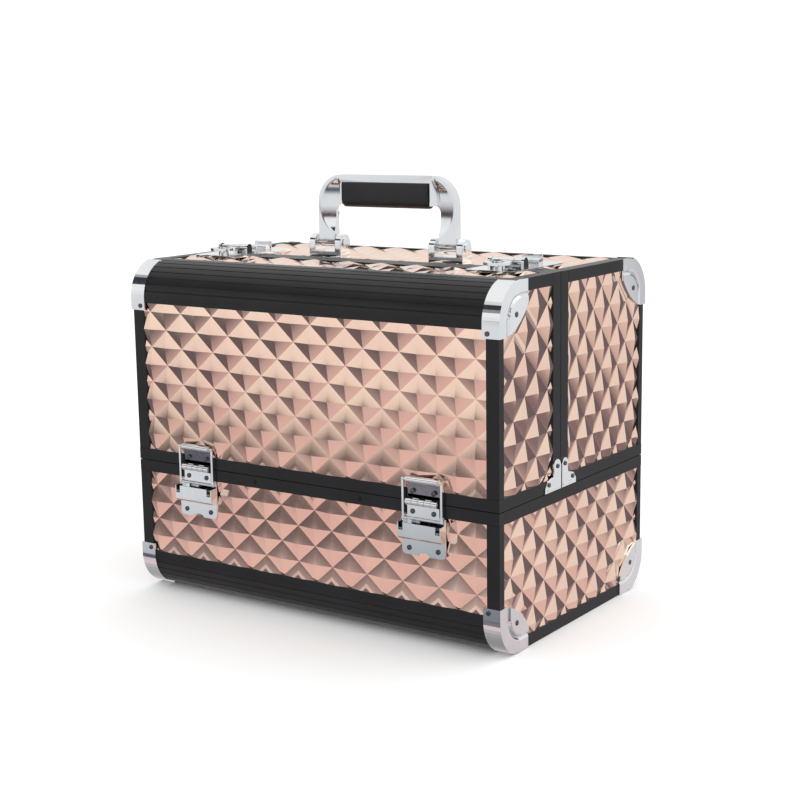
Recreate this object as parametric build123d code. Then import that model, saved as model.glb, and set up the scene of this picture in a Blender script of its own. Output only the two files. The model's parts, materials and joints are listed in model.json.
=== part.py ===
from build123d import *
import os
from math import cos, sin, radians, sqrt

# Makeup train case, in millimetres.  X runs along the front, Y from front (-) to rear (+), Z up.
# The origin is on the floor under the middle of the case.  Front hardware is modelled once and
# mirrored for the rear, and right hardware is mirrored for the left.

# ---- overall sizes
WIDTH = 355.0
DEPTH = 230.0
HEIGHT = 280.0
SEAM_Z = 112.6            # where the box ends and the lids begin
SEAM_Y = -24.4            # where the front lid meets the rear lid
SEAM_GAP = 0.4

# ---- shell build-up
RAIL = 1.8                # rail leg, outside the boards
BOARD = 4.0
LINING = 1.2
EDGE_R = 30.0             # quarter-round edge rails
EDGE_LIP = 4.0
GROOVES = 7
GROOVE_R = 0.5             # round grooves, centred on the surface
RIM_RAIL_H = 9.6
SEAM_RAIL_W = 11.5
POST_FACE = 11.0          # corner rail leg on the front and top faces
POST_SIDE = 7.0           # corner rail leg on the side face
SIDE_RAIL_H = 9.5
INNER_CORNER_R = 22.0

# ---- stamped corner caps
CAP = 1.2
CAP_STRIP = 13.5
CAP_DROP = 10.0           # below the start of the quarter round
CAP_SIDE_Y = 39.4         # along the side, from the front face
CAP_FOOT_Y = 8.0          # width of the plate at its lower end
CAP_SIDE_Z = 17.0         # height of the plate at its far end
CAP_BEAD_R = 25.0
CAP_BEAD = 3.0

# ---- hinges (stay hinges whose link frame slides in a pocket)
HINGE_X = 112.0
HINGE_HALF = 19.5
LEAF = 1.3
PIVOT_OUT = 2.6           # hinge axis outside the rail face
KNUCKLE_R = 2.55
HINGE_PIN_R = 1.5
RUN = 0.05                # running clearance, radial
LEAF_HALF = 14.4
LINK_RISE = 17.0          # link pivot above the hinge axis
LINK_LENGTH = 30.0
LINK_BAR_R = 0.9
LINK_EYE_R = 1.1
LINK_STRIP = 3.2
LINK_SIDE = 0.6           # gap between the leaf and each strip
LINK_T = 1.2
CURL_R = 2.1
POCKET_DROP = 15.6        # pocket top below the seam
POCKET_H = 13.0
POCKET_WALL = 0.8
POCKET_OUT = 7.7
POCKET_NOTCH = 6.0        # depth of the notches that let the link strips tilt outward
BASE_DROP = 41.6          # foot of the lower leaf below the seam

# ---- cantilever trays and their arms
PIVOT_IN = 19.0           # first arm pivot from the front face
PIVOT_STEP = 24.0         # second arm pivot behind it
PIVOT_RISE = 7.4          # arm pivots above the seam
ARM_ANGLE = 45.0          # closed arms lean inward by this much
LOWER_REACH = 24.0
UPPER_REACH = 90.0
ARM_HALF = 5.0
ARM_T = 1.5
ARM_GAP = 0.3
STUD_R = 2.0
HEAD_R = 3.5
HEAD_T = 0.9
LID_STUD_R = 2.5
LID_STUD_HEAD_R = 3.5
TRAY_WALL = 2.0
TRAY_FRONT = 13.0
FRONT_TRAY_GAP = 5.4      # front tray to the seam between the lids
REAR_TRAY_GAP = 6.2
LOWER_TRAY_H = 38.0
UPPER_TRAY_H = 40.0
LOWER_DROP = 8.0          # arm pivot above the lower tray's bottom
UPPER_DROP = 14.5
TRAY_R = 6.0

# ---- handle, on the rear lid
HANDLE_HALF = 68.6
HANDLE_H = 68.0           # above the top of the case
HANDLE_BACK = 27.6        # pivot behind the seam between the lids
HANDLE_PIVOT_H = 11.0
HANDLE_T = 7.6
HANDLE_CORNER = 24.0
LEG_HALF = 8.1
LEG_X = 60.5
BAR_H = 24.4              # bar and the chrome above the grip
GRIP_HALF = 43.8
GRIP_SKIN = 1.0           # grip below the bar
GRIP_LEDGE = 6.1          # chrome above the grip
GRIP_T = 15.2
GRIP_CORE = 4.4           # bar inside the grip
HANDLE_PIN_R = 2.5
EAR_GAP = 2.2
EAR = 6.0
EAR_R = 7.2
BRACKET_BASE = 4.0

# ---- latches, across the seam between the lids
LATCH_X = 135.5
LATCH_HALF = 21.5
LATCH_FRONT_L = 37.6      # plate on the front lid, from the seam
LATCH_REAR_L = 46.4       # plate on the rear lid, from the seam
LATCH_PLATE = 2.0
LATCH_PIVOT_BACK = 7.6    # pin in front of the seam
LATCH_PIVOT_H = 6.5
LATCH_BARREL_R = 2.6
LATCH_PIN_R = 1.5
DISC_REACH = 15.0         # ring centre in front of the pin
DISC_R = 11.0
DISC_HOLE_R = 5.5
LOCK_R = 4.0
HOOK_HALF = 13.3
HOOK_OVER = 7.4           # hook tip behind the seam
HOOK_LIP = 1.5
KEEPER_LIP_BACK = 3.4
KEEPER_LIP = 1.5
KEEPER_HALF = 12.0
KEEPER_ROLL_BACK = 21.4
KEEPER_ROLL_R = 3.0
KEEPER_FLAP_BACK = 29.4

# ---- values that follow
HW = WIDTH / 2
HD = DEPTH / 2
BOARD_IN = RAIL + BOARD
WALL = BOARD_IN + LINING
EAR_INNER = LEG_HALF + EAR_GAP
HINGE_Y = -HD - PIVOT_OUT
BOX_TOP = SEAM_Z - SEAM_GAP / 2
POCKET_TOP = SEAM_Z - POCKET_DROP
BASE_BOTTOM = SEAM_Z - BASE_DROP
PIVOT_Z = SEAM_Z + PIVOT_RISE
LID_BASE = SEAM_Z + SEAM_GAP / 2
FRONT_LID_D = HD + SEAM_Y - SEAM_GAP / 2
REAR_LID_D = HD - SEAM_Y - SEAM_GAP / 2
BRACKET_X = HW - WALL - ARM_GAP
ARM_X = BRACKET_X - ARM_T - ARM_GAP
TRAY_X = ARM_X - ARM_T - ARM_GAP - HEAD_T - ARM_GAP
FRONT_TRAY_D = FRONT_LID_D - TRAY_FRONT - FRONT_TRAY_GAP
REAR_TRAY_D = REAR_LID_D - TRAY_FRONT - REAR_TRAY_GAP
HANDLE_Y = SEAM_Y + HANDLE_BACK
HANDLE_Z = HEIGHT + HANDLE_PIVOT_H
HANDLE_TOP = HEIGHT + HANDLE_H
BAR_BOTTOM = HANDLE_TOP - BAR_H
GRIP_BOTTOM = BAR_BOTTOM - GRIP_SKIN
GRIP_TOP = HANDLE_TOP - GRIP_LEDGE
LATCH_FRONT = SEAM_Y - LATCH_FRONT_L
LATCH_REAR = SEAM_Y + LATCH_REAR_L
LATCH_PIVOT_Y = SEAM_Y - LATCH_PIVOT_BACK
DISC_Y = LATCH_PIVOT_Y - DISC_REACH
HOOK_TIP_Y = SEAM_Y + HOOK_OVER


def block(x, y, z):
    """A box between the low and high value of each axis."""
    size = [b - a for a, b in (x, y, z)]
    middle = [(a + b) / 2 for a, b in (x, y, z)]
    return Pos(*middle) * Box(*size)


def rod(radius, x, y, z):
    """A cylinder along X between two x values."""
    return Pos((x[0] + x[1]) / 2, y, z) * Rot(0, 90, 0) * Cylinder(radius, x[1] - x[0])


def prism_x(points, x):
    """A polygon of (y, z) points, extruded between two x values."""
    face = make_face(Plane.YZ * Polyline(*points, close=True))
    return Pos(x[0], 0, 0) * extrude(face, amount=x[1] - x[0], dir=(1, 0, 0))


def prism_z(points, z):
    """A polygon of (x, y) points, extruded between two z values."""
    face = make_face(Polyline(*points, close=True))
    return Pos(0, 0, z[0]) * extrude(face, amount=z[1] - z[0])


def both_sides(shapes):
    """The shapes and their mirror images across the middle of the width."""
    return list(shapes) + [mirror(s, about=Plane.YZ) for s in shapes]


def to_rear(shapes):
    """The shapes turned into their rear counterparts."""
    return [mirror(s, about=Plane.XZ) for s in shapes]


def flip(shapes):
    """The shapes turned upside down about the middle of the height."""
    return [Pos(0, 0, HEIGHT) * mirror(s, about=Plane.XY) for s in shapes]


def solids_of(shapes):
    """Every solid in a list of shapes."""
    return [solid for shape in shapes for solid in shape.solids()]


def save(node, shapes):
    """Writes one node as one STEP file."""
    export_step(Compound(children=solids_of(shapes)), f"parts/{node}.step")


def rivet(radius, height, at, out):
    """A domed rivet head on a face; out is the axis it stands along, such as -Y."""
    head = Pos(0, 0, height / 2) * Cylinder(radius, height)
    head = fillet(head.edges().group_by(Axis.Z)[-1], height * 0.6)
    turn = {"+X": (0, 90, 0), "-X": (0, -90, 0), "-Y": (90, 0, 0), "+Z": (0, 0, 0)}[out]
    return Pos(*at) * Rot(*turn) * head


# ---- case profile -------------------------------------------------------------------------

def profile(inset, radius, y_end, z_low, z_high=HEIGHT):
    """Side outline inset from the faces, with a rounded upper front corner, as an (y, z) face."""
    front, top = -HD + inset, z_high - inset
    edges = [
        Line((front, z_low), (front, top - radius)),
        CenterArc((front + radius, top - radius), radius, 180, -90),
        Line((front + radius, top), (y_end, top)),
        Line((y_end, top), (y_end, z_low)),
        Line((y_end, z_low), (front, z_low)),
    ]
    return make_face([Plane.YZ * edge for edge in edges])


def profile_solid(inset, radius, y_end, z_low, x):
    """The inset side outline extruded between two x values."""
    return Pos(x[0], 0, 0) * extrude(profile(inset, radius, y_end, z_low), amount=x[1] - x[0], dir=(1, 0, 0))


def edge_rail():
    """Upper front quarter-round rail: a ribbed arc with a lip over each board."""
    x = (-HW + RAIL, HW - RAIL)
    centre_y, centre_z = -HD + EDGE_R, HEIGHT - EDGE_R
    ring = rod(EDGE_R, x, centre_y, centre_z) - rod(EDGE_R - BOARD_IN, x, centre_y, centre_z)
    ring = ring & block(x, (-HD, centre_y), (centre_z, HEIGHT))
    ring += block(x, (-HD, -HD + RAIL), (centre_z - EDGE_LIP, centre_z))
    ring += block(x, (centre_y, centre_y + EDGE_LIP), (HEIGHT - RAIL, HEIGHT))
    for i in range(GROOVES):
        angle = radians(90 * (i + 1) / (GROOVES + 1))
        ring -= rod(GROOVE_R, x, centre_y - EDGE_R * cos(angle), centre_z + EDGE_R * sin(angle))
    return ring


def corner_cap():
    """Stamped cap on the upper front right corner: a strip round the edge and a side plate."""
    centre_y, centre_z = -HD + EDGE_R, HEIGHT - EDGE_R
    x = (HW - CAP_STRIP, HW)
    strip = rod(EDGE_R + CAP, x, centre_y, centre_z) - rod(EDGE_R, x, centre_y, centre_z)
    reach = EDGE_R + CAP
    level = sqrt(reach ** 2 - EDGE_R ** 2)
    strip = strip & block(x, (-HD - CAP, centre_y - level), (centre_z, HEIGHT))
    strip += block(x, (-HD - CAP, -HD), (centre_z - CAP_DROP, centre_z))
    low = centre_z - CAP_DROP
    end_y, end_z = -HD + CAP_SIDE_Y, HEIGHT - CAP_SIDE_Z
    arc = CenterArc((centre_y, centre_z), EDGE_R, 180, -90)
    edges = [
        Line((-HD, low), (-HD, centre_z)),
        arc,
        Line((centre_y, HEIGHT), (end_y, HEIGHT)),
        Line((end_y, HEIGHT), (end_y, end_z)),
        ThreePointArc((end_y, end_z), (end_y - 12.0, end_z - 13.5), (-HD + CAP_FOOT_Y, low)),
        Line((-HD + CAP_FOOT_Y, low), (-HD, low)),
    ]
    face = make_face([Plane.YZ * edge for edge in edges])
    plate = Pos(HW, 0, 0) * extrude(face, amount=CAP, dir=(1, 0, 0))
    bead_x = (HW + CAP / 2, HW + CAP + 0.7)
    bead = rod(CAP_BEAD_R, bead_x, centre_y, centre_z) - rod(CAP_BEAD_R - CAP_BEAD, bead_x, centre_y, centre_z)
    bead = bead & block(bead_x, (-HD, centre_y - 2.0), (centre_z - 1.0, HEIGHT))
    outer = rod(EDGE_R + CAP, (HW, HW + CAP), centre_y, centre_z)
    outer = outer & block((HW, HW + CAP), (-HD - CAP, centre_y - level), (centre_z, HEIGHT))
    outer = outer - rod(EDGE_R, (HW, HW + CAP), centre_y, centre_z)
    outer += block((HW, HW + CAP), (-HD - CAP, -HD), (low, centre_z))
    return strip + plate + outer + bead


def cap_rivets():
    """The two rivets of the upper front right cap."""
    low = HEIGHT - EDGE_R - CAP_DROP
    return [rivet(2.2, 1.0, (HW + CAP, -HD + 22.0, HEIGHT - 24.5), "+X"),
            rivet(1.9, 0.9, (HW - 9.0, -HD - CAP, low + 3.6), "-Y")]


def corner_rail(y_end, z_low):
    """Right corner post and top rail: angle section round the upper front corner."""
    x = (HW - RAIL, HW)
    side = profile_solid(0, EDGE_R, y_end, z_low, x)
    inner_r = INNER_CORNER_R
    front, top = -HD + POST_SIDE, HEIGHT - SIDE_RAIL_H
    cut = block(x, (front, y_end), (z_low, top - inner_r)) + block(x, (front + inner_r, y_end), (z_low, top))
    cut += rod(inner_r, x, front + inner_r, top - inner_r)
    side = side - cut
    face_x = (HW - POST_FACE, HW - RAIL)
    post = block(face_x, (-HD, -HD + RAIL), (z_low, HEIGHT - EDGE_R - EDGE_LIP))
    ledge = block(face_x, (-HD + EDGE_R + EDGE_LIP, y_end), (HEIGHT - RAIL, HEIGHT))
    return side + post + ledge


def channel(x, z_edge, up):
    """Rim rail section swept along X: outer leg, web at the seam and inner leg; up is +1 or -1."""
    def leg(y0, y1, height):
        z = sorted((z_edge, z_edge + up * height))
        return block(x, (-HD + y0, -HD + y1), z)
    return leg(0, RAIL, RIM_RAIL_H) + leg(0, WALL, RAIL) + leg(BOARD_IN, WALL, RIM_RAIL_H)


def front_rim_rail(z_edge, up):
    """Rim rail along the front, mitred at both ends."""
    z = sorted((z_edge - up, z_edge + up * (RIM_RAIL_H + 1)))
    mitre = prism_z([(-HW, -HD), (HW, -HD), (HW - WALL, -HD + WALL), (-HW + WALL, -HD + WALL)], z)
    return channel((-HW, HW), z_edge, up) & mitre


def side_rim_rail(z_edge, up, y_end, mitred_end=False):
    """Right rim rail, mitred at the front and, on the box, at the rear too."""
    along = Pos(0, 0, 0) * channel((-HD, y_end), z_edge, up)
    turned = Rot(0, 0, 90) * Pos(0, HD - HW, 0) * along
    z = sorted((z_edge - up, z_edge + up * (RIM_RAIL_H + 1)))
    inner_end = y_end - WALL if mitred_end else y_end
    mitre = prism_z([(HW, -HD), (HW, y_end), (HW - WALL, inner_end), (HW - WALL, -HD + WALL)], z)
    return turned & mitre


def side_board(y_end, z_low):
    """Right side board of a lid, inside the front and top boards."""
    x = (HW - BOARD_IN, HW - RAIL)
    return profile_solid(BOARD_IN, EDGE_R - BOARD_IN, y_end, z_low, x)


# ---- lids -----------------------------------------------------------------------------------

def lid_parts(depth):
    """All fixed sheet parts of a lid in front orientation, keyed by part."""
    y_end = -HD + depth
    web_end = y_end - RAIL
    rail_end = y_end - SEAM_RAIL_W
    rim_top = LID_BASE + RIM_RAIL_H
    board_low = LID_BASE + RAIL
    across = (-HW + RAIL, HW - RAIL)
    parts = {}
    parts["front_panel"] = [block(across, (-HD + RAIL, -HD + BOARD_IN), (board_low, HEIGHT - EDGE_R))]
    parts["top_panel"] = [block(across, (-HD + EDGE_R, web_end), (HEIGHT - BOARD_IN, HEIGHT - RAIL))]
    parts["side_panels"] = both_sides([side_board(web_end, board_low)])
    parts["edge_rail"] = [edge_rail()]
    parts["corner_rails"] = both_sides([corner_rail(rail_end, rim_top)])
    parts["rim_rails"] = [front_rim_rail(LID_BASE, 1)] + both_sides([side_rim_rail(LID_BASE, 1, y_end)])
    parts["seam_rails"] = seam_rails(y_end, rim_top)
    parts["corner_caps"] = both_sides([corner_cap()])
    inner_x = (-HW + WALL, HW - WALL)
    outer = profile_solid(BOARD_IN, EDGE_R - BOARD_IN, rail_end, rim_top, (-HW + BOARD_IN, HW - BOARD_IN))
    inner = profile_solid(WALL, EDGE_R - WALL, rail_end, rim_top, inner_x)
    parts["lining"] = [outer - inner]
    return parts


def seam_rails(y_end, z_low):
    """Channel rails round the open edge of a lid: two uprights and one across, mitred."""
    def section(thick, width):
        outer = block((-HW + thick[0], HW - thick[0]), width, (z_low, HEIGHT - thick[0]))
        return outer - block((-HW + thick[1], HW - thick[1]), width, (z_low, HEIGHT - thick[1]))
    rail_y = (y_end - SEAM_RAIL_W, y_end)
    frame = section((0, RAIL), rail_y) + section((0, WALL), (y_end - RAIL, y_end))
    frame += section((BOARD_IN, WALL), rail_y)
    corner = HEIGHT - WALL
    tall = rail_y[1] - rail_y[0]
    top_zone = make_face(Plane.XZ * Polyline((-HW, HEIGHT), (HW, HEIGHT), (HW - WALL, corner),
                                             (-HW + WALL, corner), close=True))
    top_cut = Pos(0, y_end, 0) * extrude(top_zone, amount=tall, dir=(0, -1, 0))
    across = frame & top_cut
    uprights = frame - top_cut
    return [across] + uprights.solids()


# ---- hinges ---------------------------------------------------------------------------------

def lower_leaf():
    """Lower hinge leaf at x = 0: base plate, outer knuckles and the hinge pin."""
    plate = block((-HINGE_HALF, HINGE_HALF), (-HD - LEAF, -HD), (BASE_BOTTOM, POCKET_TOP + 5.0))
    plate += block((-LEAF_HALF, LEAF_HALF), (-HD - LEAF, -HD), (BASE_BOTTOM, SEAM_Z - KNUCKLE_R - 0.4))
    notch = Pos(0, -HD - LEAF / 2, BASE_BOTTOM) * Rot(90, 0, 0) * Cylinder(5.0, LEAF * 2)
    plate = plate - notch
    pin = rod(HINGE_PIN_R, (-LEAF_HALF, LEAF_HALF), HINGE_Y, SEAM_Z)
    barrels = [rod(KNUCKLE_R, x, HINGE_Y, SEAM_Z) for x in knuckle_spans(outer=True)]
    webs = [block(x, (HINGE_Y - 0.2, -HD - 0.1), (SEAM_Z - KNUCKLE_R - 0.5, SEAM_Z))
            for x in knuckle_spans(outer=True)]
    leaf = plate + pin
    for piece in barrels + webs:
        leaf += piece
    return leaf


def knuckle_spans(outer):
    """X spans of the five knuckles: three on the lower leaf, two on the upper leaf."""
    step = 2 * LEAF_HALF / 5
    gap = 0.15
    first = 0 if outer else 1
    return [(-LEAF_HALF + i * step + gap, -LEAF_HALF + (i + 1) * step - gap) for i in range(first, 5, 2)]


def upper_leaf():
    """Upper hinge leaf at x = 0: plate with two knuckles below and a curl above."""
    curl_z = SEAM_Z + LINK_RISE
    leaf = block((-LEAF_HALF, LEAF_HALF), (-HD - LEAF, -HD), (SEAM_Z + KNUCKLE_R + 0.4, curl_z))
    for x in knuckle_spans(outer=False):
        leaf += rod(KNUCKLE_R, x, HINGE_Y, SEAM_Z)
        leaf += block(x, (HINGE_Y - 0.2, -HD - 0.1), (SEAM_Z, SEAM_Z + KNUCKLE_R + 0.5))
    leaf += rod(CURL_R, (-LEAF_HALF, LEAF_HALF), HINGE_Y, curl_z)
    leaf += block((-LEAF_HALF, LEAF_HALF), (HINGE_Y, -HD), (curl_z, curl_z + CURL_R))
    leaf -= rod(HINGE_PIN_R + RUN, (-LEAF_HALF, LEAF_HALF), HINGE_Y, SEAM_Z)
    leaf -= rod(LINK_BAR_R + RUN, (-LEAF_HALF, LEAF_HALF), HINGE_Y, curl_z)
    return leaf


def link_frame():
    """Link frame at x = 0: two strips joined by an upper and a lower bar."""
    top_z = SEAM_Z + LINK_RISE
    low_z = top_z - LINK_LENGTH
    outer = LEAF_HALF + LINK_SIDE + LINK_STRIP
    frame = rod(LINK_BAR_R, (-outer, outer), HINGE_Y, top_z)
    frame += rod(LINK_BAR_R, (-outer, outer), HINGE_Y, low_z)
    for x in ((-outer, -outer + LINK_STRIP), (outer - LINK_STRIP, outer)):
        frame += block(x, (HINGE_Y - LINK_T / 2, HINGE_Y + LINK_T / 2), (low_z, top_z))
        for z in (low_z, top_z):
            frame += rod(LINK_EYE_R, x, HINGE_Y, z)
    return frame


def slide_pocket():
    """Cover that guides the lower bar of the link frame, open at the top."""
    y_out = -HD - POCKET_OUT
    z = (POCKET_TOP - POCKET_H, POCKET_TOP)
    inner_x = (-HINGE_HALF + POCKET_WALL, HINGE_HALF - POCKET_WALL)
    cover = block((-HINGE_HALF, HINGE_HALF), (y_out, -HD - LEAF), z)
    cover = chamfer(cover.edges().filter_by(Axis.X).group_by(Axis.Y)[0].group_by(Axis.Z)[0], 2.0)
    cover -= block(inner_x, (y_out + POCKET_WALL, -HD - LEAF), (z[0] + POCKET_WALL, z[1]))
    strip_in, strip_out = LEAF_HALF + LINK_SIDE - 0.4, LEAF_HALF + LINK_SIDE + LINK_STRIP + 0.4
    for side in (-1, 1):
        x = sorted((side * strip_in, side * strip_out))
        cover -= block(x, (y_out, -HD - LEAF), (z[1] - POCKET_NOTCH, z[1]))
    return cover


def at_hinges(shapes):
    """The shapes placed at both hinges of the front."""
    return [Pos(side * HINGE_X, 0, 0) * shape for side in (-1, 1) for shape in shapes]


def hinge_rivets(rows):
    """Rivet heads of one leaf, at x = 0; rows holds pairs of (z, half spacing)."""
    return [rivet(2.0, 0.9, (side * half, -HD - LEAF, z), "-Y") for z, half in rows for side in (-1, 1)]


# ---- tray linkage -----------------------------------------------------------------------------

def arm_end(pivot_y, reach):
    """Closed position of the far end of an arm."""
    angle = radians(ARM_ANGLE)
    return pivot_y + reach * sin(angle), PIVOT_Z + reach * cos(angle)


def arm(pivot_y, reaches):
    """Right arm plate with a pivot hole, and a hole for each tray it carries."""
    x = (ARM_X - ARM_T, ARM_X)
    end_y, end_z = arm_end(pivot_y, max(reaches))
    strip = rod(ARM_HALF, x, pivot_y, PIVOT_Z) + rod(ARM_HALF, x, end_y, end_z)
    angle = radians(ARM_ANGLE)
    dy, dz = ARM_HALF * cos(angle), -ARM_HALF * sin(angle)
    strip += prism_x([(pivot_y + dy, PIVOT_Z + dz), (end_y + dy, end_z + dz),
                      (end_y - dy, end_z - dz), (pivot_y - dy, PIVOT_Z - dz)], x)
    for y, z in [(pivot_y, PIVOT_Z)] + [arm_end(pivot_y, reach) for reach in reaches]:
        strip -= rod(STUD_R + RUN, x, y, z)
    return strip


def arm_bracket():
    """Right bracket inside the box wall that carries both arms on fixed studs."""
    x = (BRACKET_X - ARM_T, BRACKET_X)
    first, second = -HD + PIVOT_IN, -HD + PIVOT_IN + PIVOT_STEP
    plate = block(x, (first - 5.5, second + 5.5), (PIVOT_Z - 40.0, PIVOT_Z))
    plate += block((BRACKET_X, HW - WALL), (first - 5.5, second + 5.5), (PIVOT_Z - 40.0, BOX_TOP))
    for y in (first, second):
        plate += rod(5.5, x, y, PIVOT_Z)
        plate += rod(STUD_R, (ARM_X - ARM_T - ARM_GAP, BRACKET_X), y, PIVOT_Z)
        plate += rod(HEAD_R, (ARM_X - ARM_T - ARM_GAP - HEAD_T, ARM_X - ARM_T - ARM_GAP), y, PIVOT_Z)
    return plate


def tray(depth, pivots, bottom, height, lid_pivot=None):
    """A tray with rounded bottom edges, a stud at each end for each arm and holes for the lid studs."""
    y = (-HD + TRAY_FRONT, -HD + TRAY_FRONT + depth)
    z = (bottom, bottom + height)
    shell = block((-TRAY_X, TRAY_X), y, z)
    shell = fillet(shell.edges().filter_by(Axis.X).group_by(Axis.Z)[0], TRAY_R)
    hollow = block((-TRAY_X + TRAY_WALL, TRAY_X - TRAY_WALL), (y[0] + TRAY_WALL, y[1] - TRAY_WALL),
                   (z[0] + TRAY_WALL, z[1]))
    hollow = fillet(hollow.edges().filter_by(Axis.X).group_by(Axis.Z)[0], TRAY_R - TRAY_WALL)
    shell = shell - hollow
    for side in (-1, 1):
        for pivot in pivots:
            stud = rod(STUD_R, (TRAY_X, ARM_X + ARM_GAP), *pivot)
            stud += rod(HEAD_R, (ARM_X + ARM_GAP, ARM_X + ARM_GAP + HEAD_T), *pivot)
            shell += stud if side > 0 else mirror(stud, about=Plane.YZ)
        if lid_pivot:
            x = sorted((side * (TRAY_X - TRAY_WALL), side * TRAY_X))
            shell -= rod(LID_STUD_R + RUN, x, *lid_pivot)
    return shell


def lid_stud(lid_pivot):
    """Right stud that ties the upper tray to the lid side."""
    inner = TRAY_X - TRAY_WALL - ARM_GAP
    stud = rod(LID_STUD_R, (inner, HW - WALL), *lid_pivot)
    for x in ((inner - HEAD_T, inner), (HW - WALL - HEAD_T, HW - WALL)):
        stud += rod(LID_STUD_HEAD_R, x, *lid_pivot)
    return stud


def linkage(depth):
    """Arms, trays and studs of one side of the case in front orientation."""
    first = -HD + PIVOT_IN
    second = first + PIVOT_STEP
    lower, upper = arm_end(first, LOWER_REACH), arm_end(first, UPPER_REACH)
    lower_second = arm_end(second, LOWER_REACH)
    lid_pivot = (upper[0] + HINGE_Y - first, upper[1] + SEAM_Z - PIVOT_Z)
    return {
        "long_arms": both_sides([arm(first, [LOWER_REACH, UPPER_REACH])]),
        "short_arms": both_sides([arm(second, [LOWER_REACH])]),
        "brackets": both_sides([arm_bracket()]),
        "lower_tray": [tray(depth, [lower, lower_second], lower[1] - LOWER_DROP, LOWER_TRAY_H)],
        "upper_tray": [tray(depth, [upper], upper[1] - UPPER_DROP, UPPER_TRAY_H, lid_pivot)],
        "lid_studs": both_sides([lid_stud(lid_pivot)]),
    }


# ---- side brackets ---------------------------------------------------------------------------

def side_bracket(y_end, wing, lobe):
    """Right stamped bracket at a lid's lower corner, in front orientation."""
    z0 = LID_BASE + 0.4
    x = (HW, HW + CAP)
    inner = y_end - 0.6
    plate = prism_x([(inner, z0), (inner - wing, z0), (inner - wing, z0 + 4.0), (inner - wing + 4.0, z0 + 9.0),
                     (inner - lobe, z0 + 11.5), (inner, z0 + 11.5)], x)
    middle = inner - lobe / 2 - 1.0
    plate += block(x, (middle - lobe / 2 + 1.0, inner), (z0 + 10.0, z0 + 19.0))
    plate += rod(lobe / 2, x, middle + 0.6, z0 + 18.5) & block(x, (middle - 20.0, inner), (z0, z0 + 40.0))
    ridge = block((HW + CAP, HW + CAP + 0.8), (inner - wing + 3.5, inner - 1.5), (z0 + 1.6, z0 + 3.4))
    return plate + ridge


def side_bracket_rivets(y_end, wing, lobe):
    """Rivets of the right side bracket."""
    z0 = LID_BASE + 0.4
    inner = y_end - 0.6
    return [rivet(1.8, 0.9, (HW + CAP, inner - lobe / 2, z0 + 18.5), "+X"),
            rivet(1.8, 0.9, (HW + CAP, inner - wing + 5.5, z0 + 6.2), "+X")]


# ---- handle ------------------------------------------------------------------------------------

def handle_frame():
    """Bail with rounded upper corners and legs that turn on the bracket pins."""
    y = (HANDLE_Y - HANDLE_T / 2, HANDLE_Y + HANDLE_T / 2)
    bail = block((-HANDLE_HALF, HANDLE_HALF), y, (HANDLE_Z - 10.0, HANDLE_TOP))
    bail = fillet(bail.edges().filter_by(Axis.Y).group_by(Axis.Z)[-1], HANDLE_CORNER)
    inner = block((-LEG_X + LEG_HALF, LEG_X - LEG_HALF), y, (HANDLE_Z - 10.0, BAR_BOTTOM))
    inner = fillet(inner.edges().filter_by(Axis.Y).group_by(Axis.Z)[-1], 6.0)
    bail = bail - inner - block((-HW, HW), y, (HANDLE_Z - 10.0, HANDLE_Z))
    feet = [rod(HANDLE_T / 2, sorted((side * (LEG_X - LEG_HALF), side * HANDLE_HALF)), HANDLE_Y, HANDLE_Z)
            for side in (-1, 1)]
    for foot in feet:
        bail += foot
    bail -= block((-GRIP_HALF, GRIP_HALF), (y[0], HANDLE_Y - GRIP_CORE / 2), (BAR_BOTTOM, GRIP_TOP))
    bail -= block((-GRIP_HALF, GRIP_HALF), (HANDLE_Y + GRIP_CORE / 2, y[1]), (BAR_BOTTOM, GRIP_TOP))
    return bail - rod(HANDLE_PIN_R + RUN, (-HW, HW), HANDLE_Y, HANDLE_Z)


def handle_grip():
    """Soft grip that clips round the bar from below."""
    y = (HANDLE_Y - GRIP_T / 2, HANDLE_Y + GRIP_T / 2)
    grip = block((-GRIP_HALF, GRIP_HALF), y, (GRIP_BOTTOM, GRIP_TOP))
    grip = fillet(grip.edges().filter_by(Axis.X).group_by(Axis.Z)[0], 6.0)
    grip = fillet(grip.edges().filter_by(Axis.X).group_by(Axis.Z)[-1], 2.0)
    return grip - block((-HW, HW), (HANDLE_Y - GRIP_CORE / 2, HANDLE_Y + GRIP_CORE / 2), (BAR_BOTTOM, GRIP_TOP + 1.0))


def handle_bracket():
    """Right cradle: a base on the seam rail and two rounded ears bored for the pins."""
    y = (HANDLE_Y - EAR_R, HANDLE_Y + EAR_R)
    outer = EAR_INNER + EAR
    bracket = block((LEG_X - outer, LEG_X + outer), y, (HEIGHT - RAIL, HEIGHT + BRACKET_BASE))
    for x in ((LEG_X - outer, LEG_X - EAR_INNER), (LEG_X + EAR_INNER, LEG_X + outer)):
        bracket += block(x, y, (HEIGHT, HANDLE_Z)) + rod(EAR_R, x, HANDLE_Y, HANDLE_Z)
    return bracket - rod(HANDLE_PIN_R, (0, HW), HANDLE_Y, HANDLE_Z)


def handle_pin():
    """Right pin through both ears and the leg, with a head at each end."""
    outer = EAR_INNER + EAR
    pin = rod(HANDLE_PIN_R, (LEG_X - outer, LEG_X + outer), HANDLE_Y, HANDLE_Z)
    pin += rod(4.0, (LEG_X - outer - 0.9, LEG_X - outer), HANDLE_Y, HANDLE_Z)
    return pin + rod(4.0, (LEG_X + outer, LEG_X + outer + 0.9), HANDLE_Y, HANDLE_Z)


# ---- latches -----------------------------------------------------------------------------------

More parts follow.
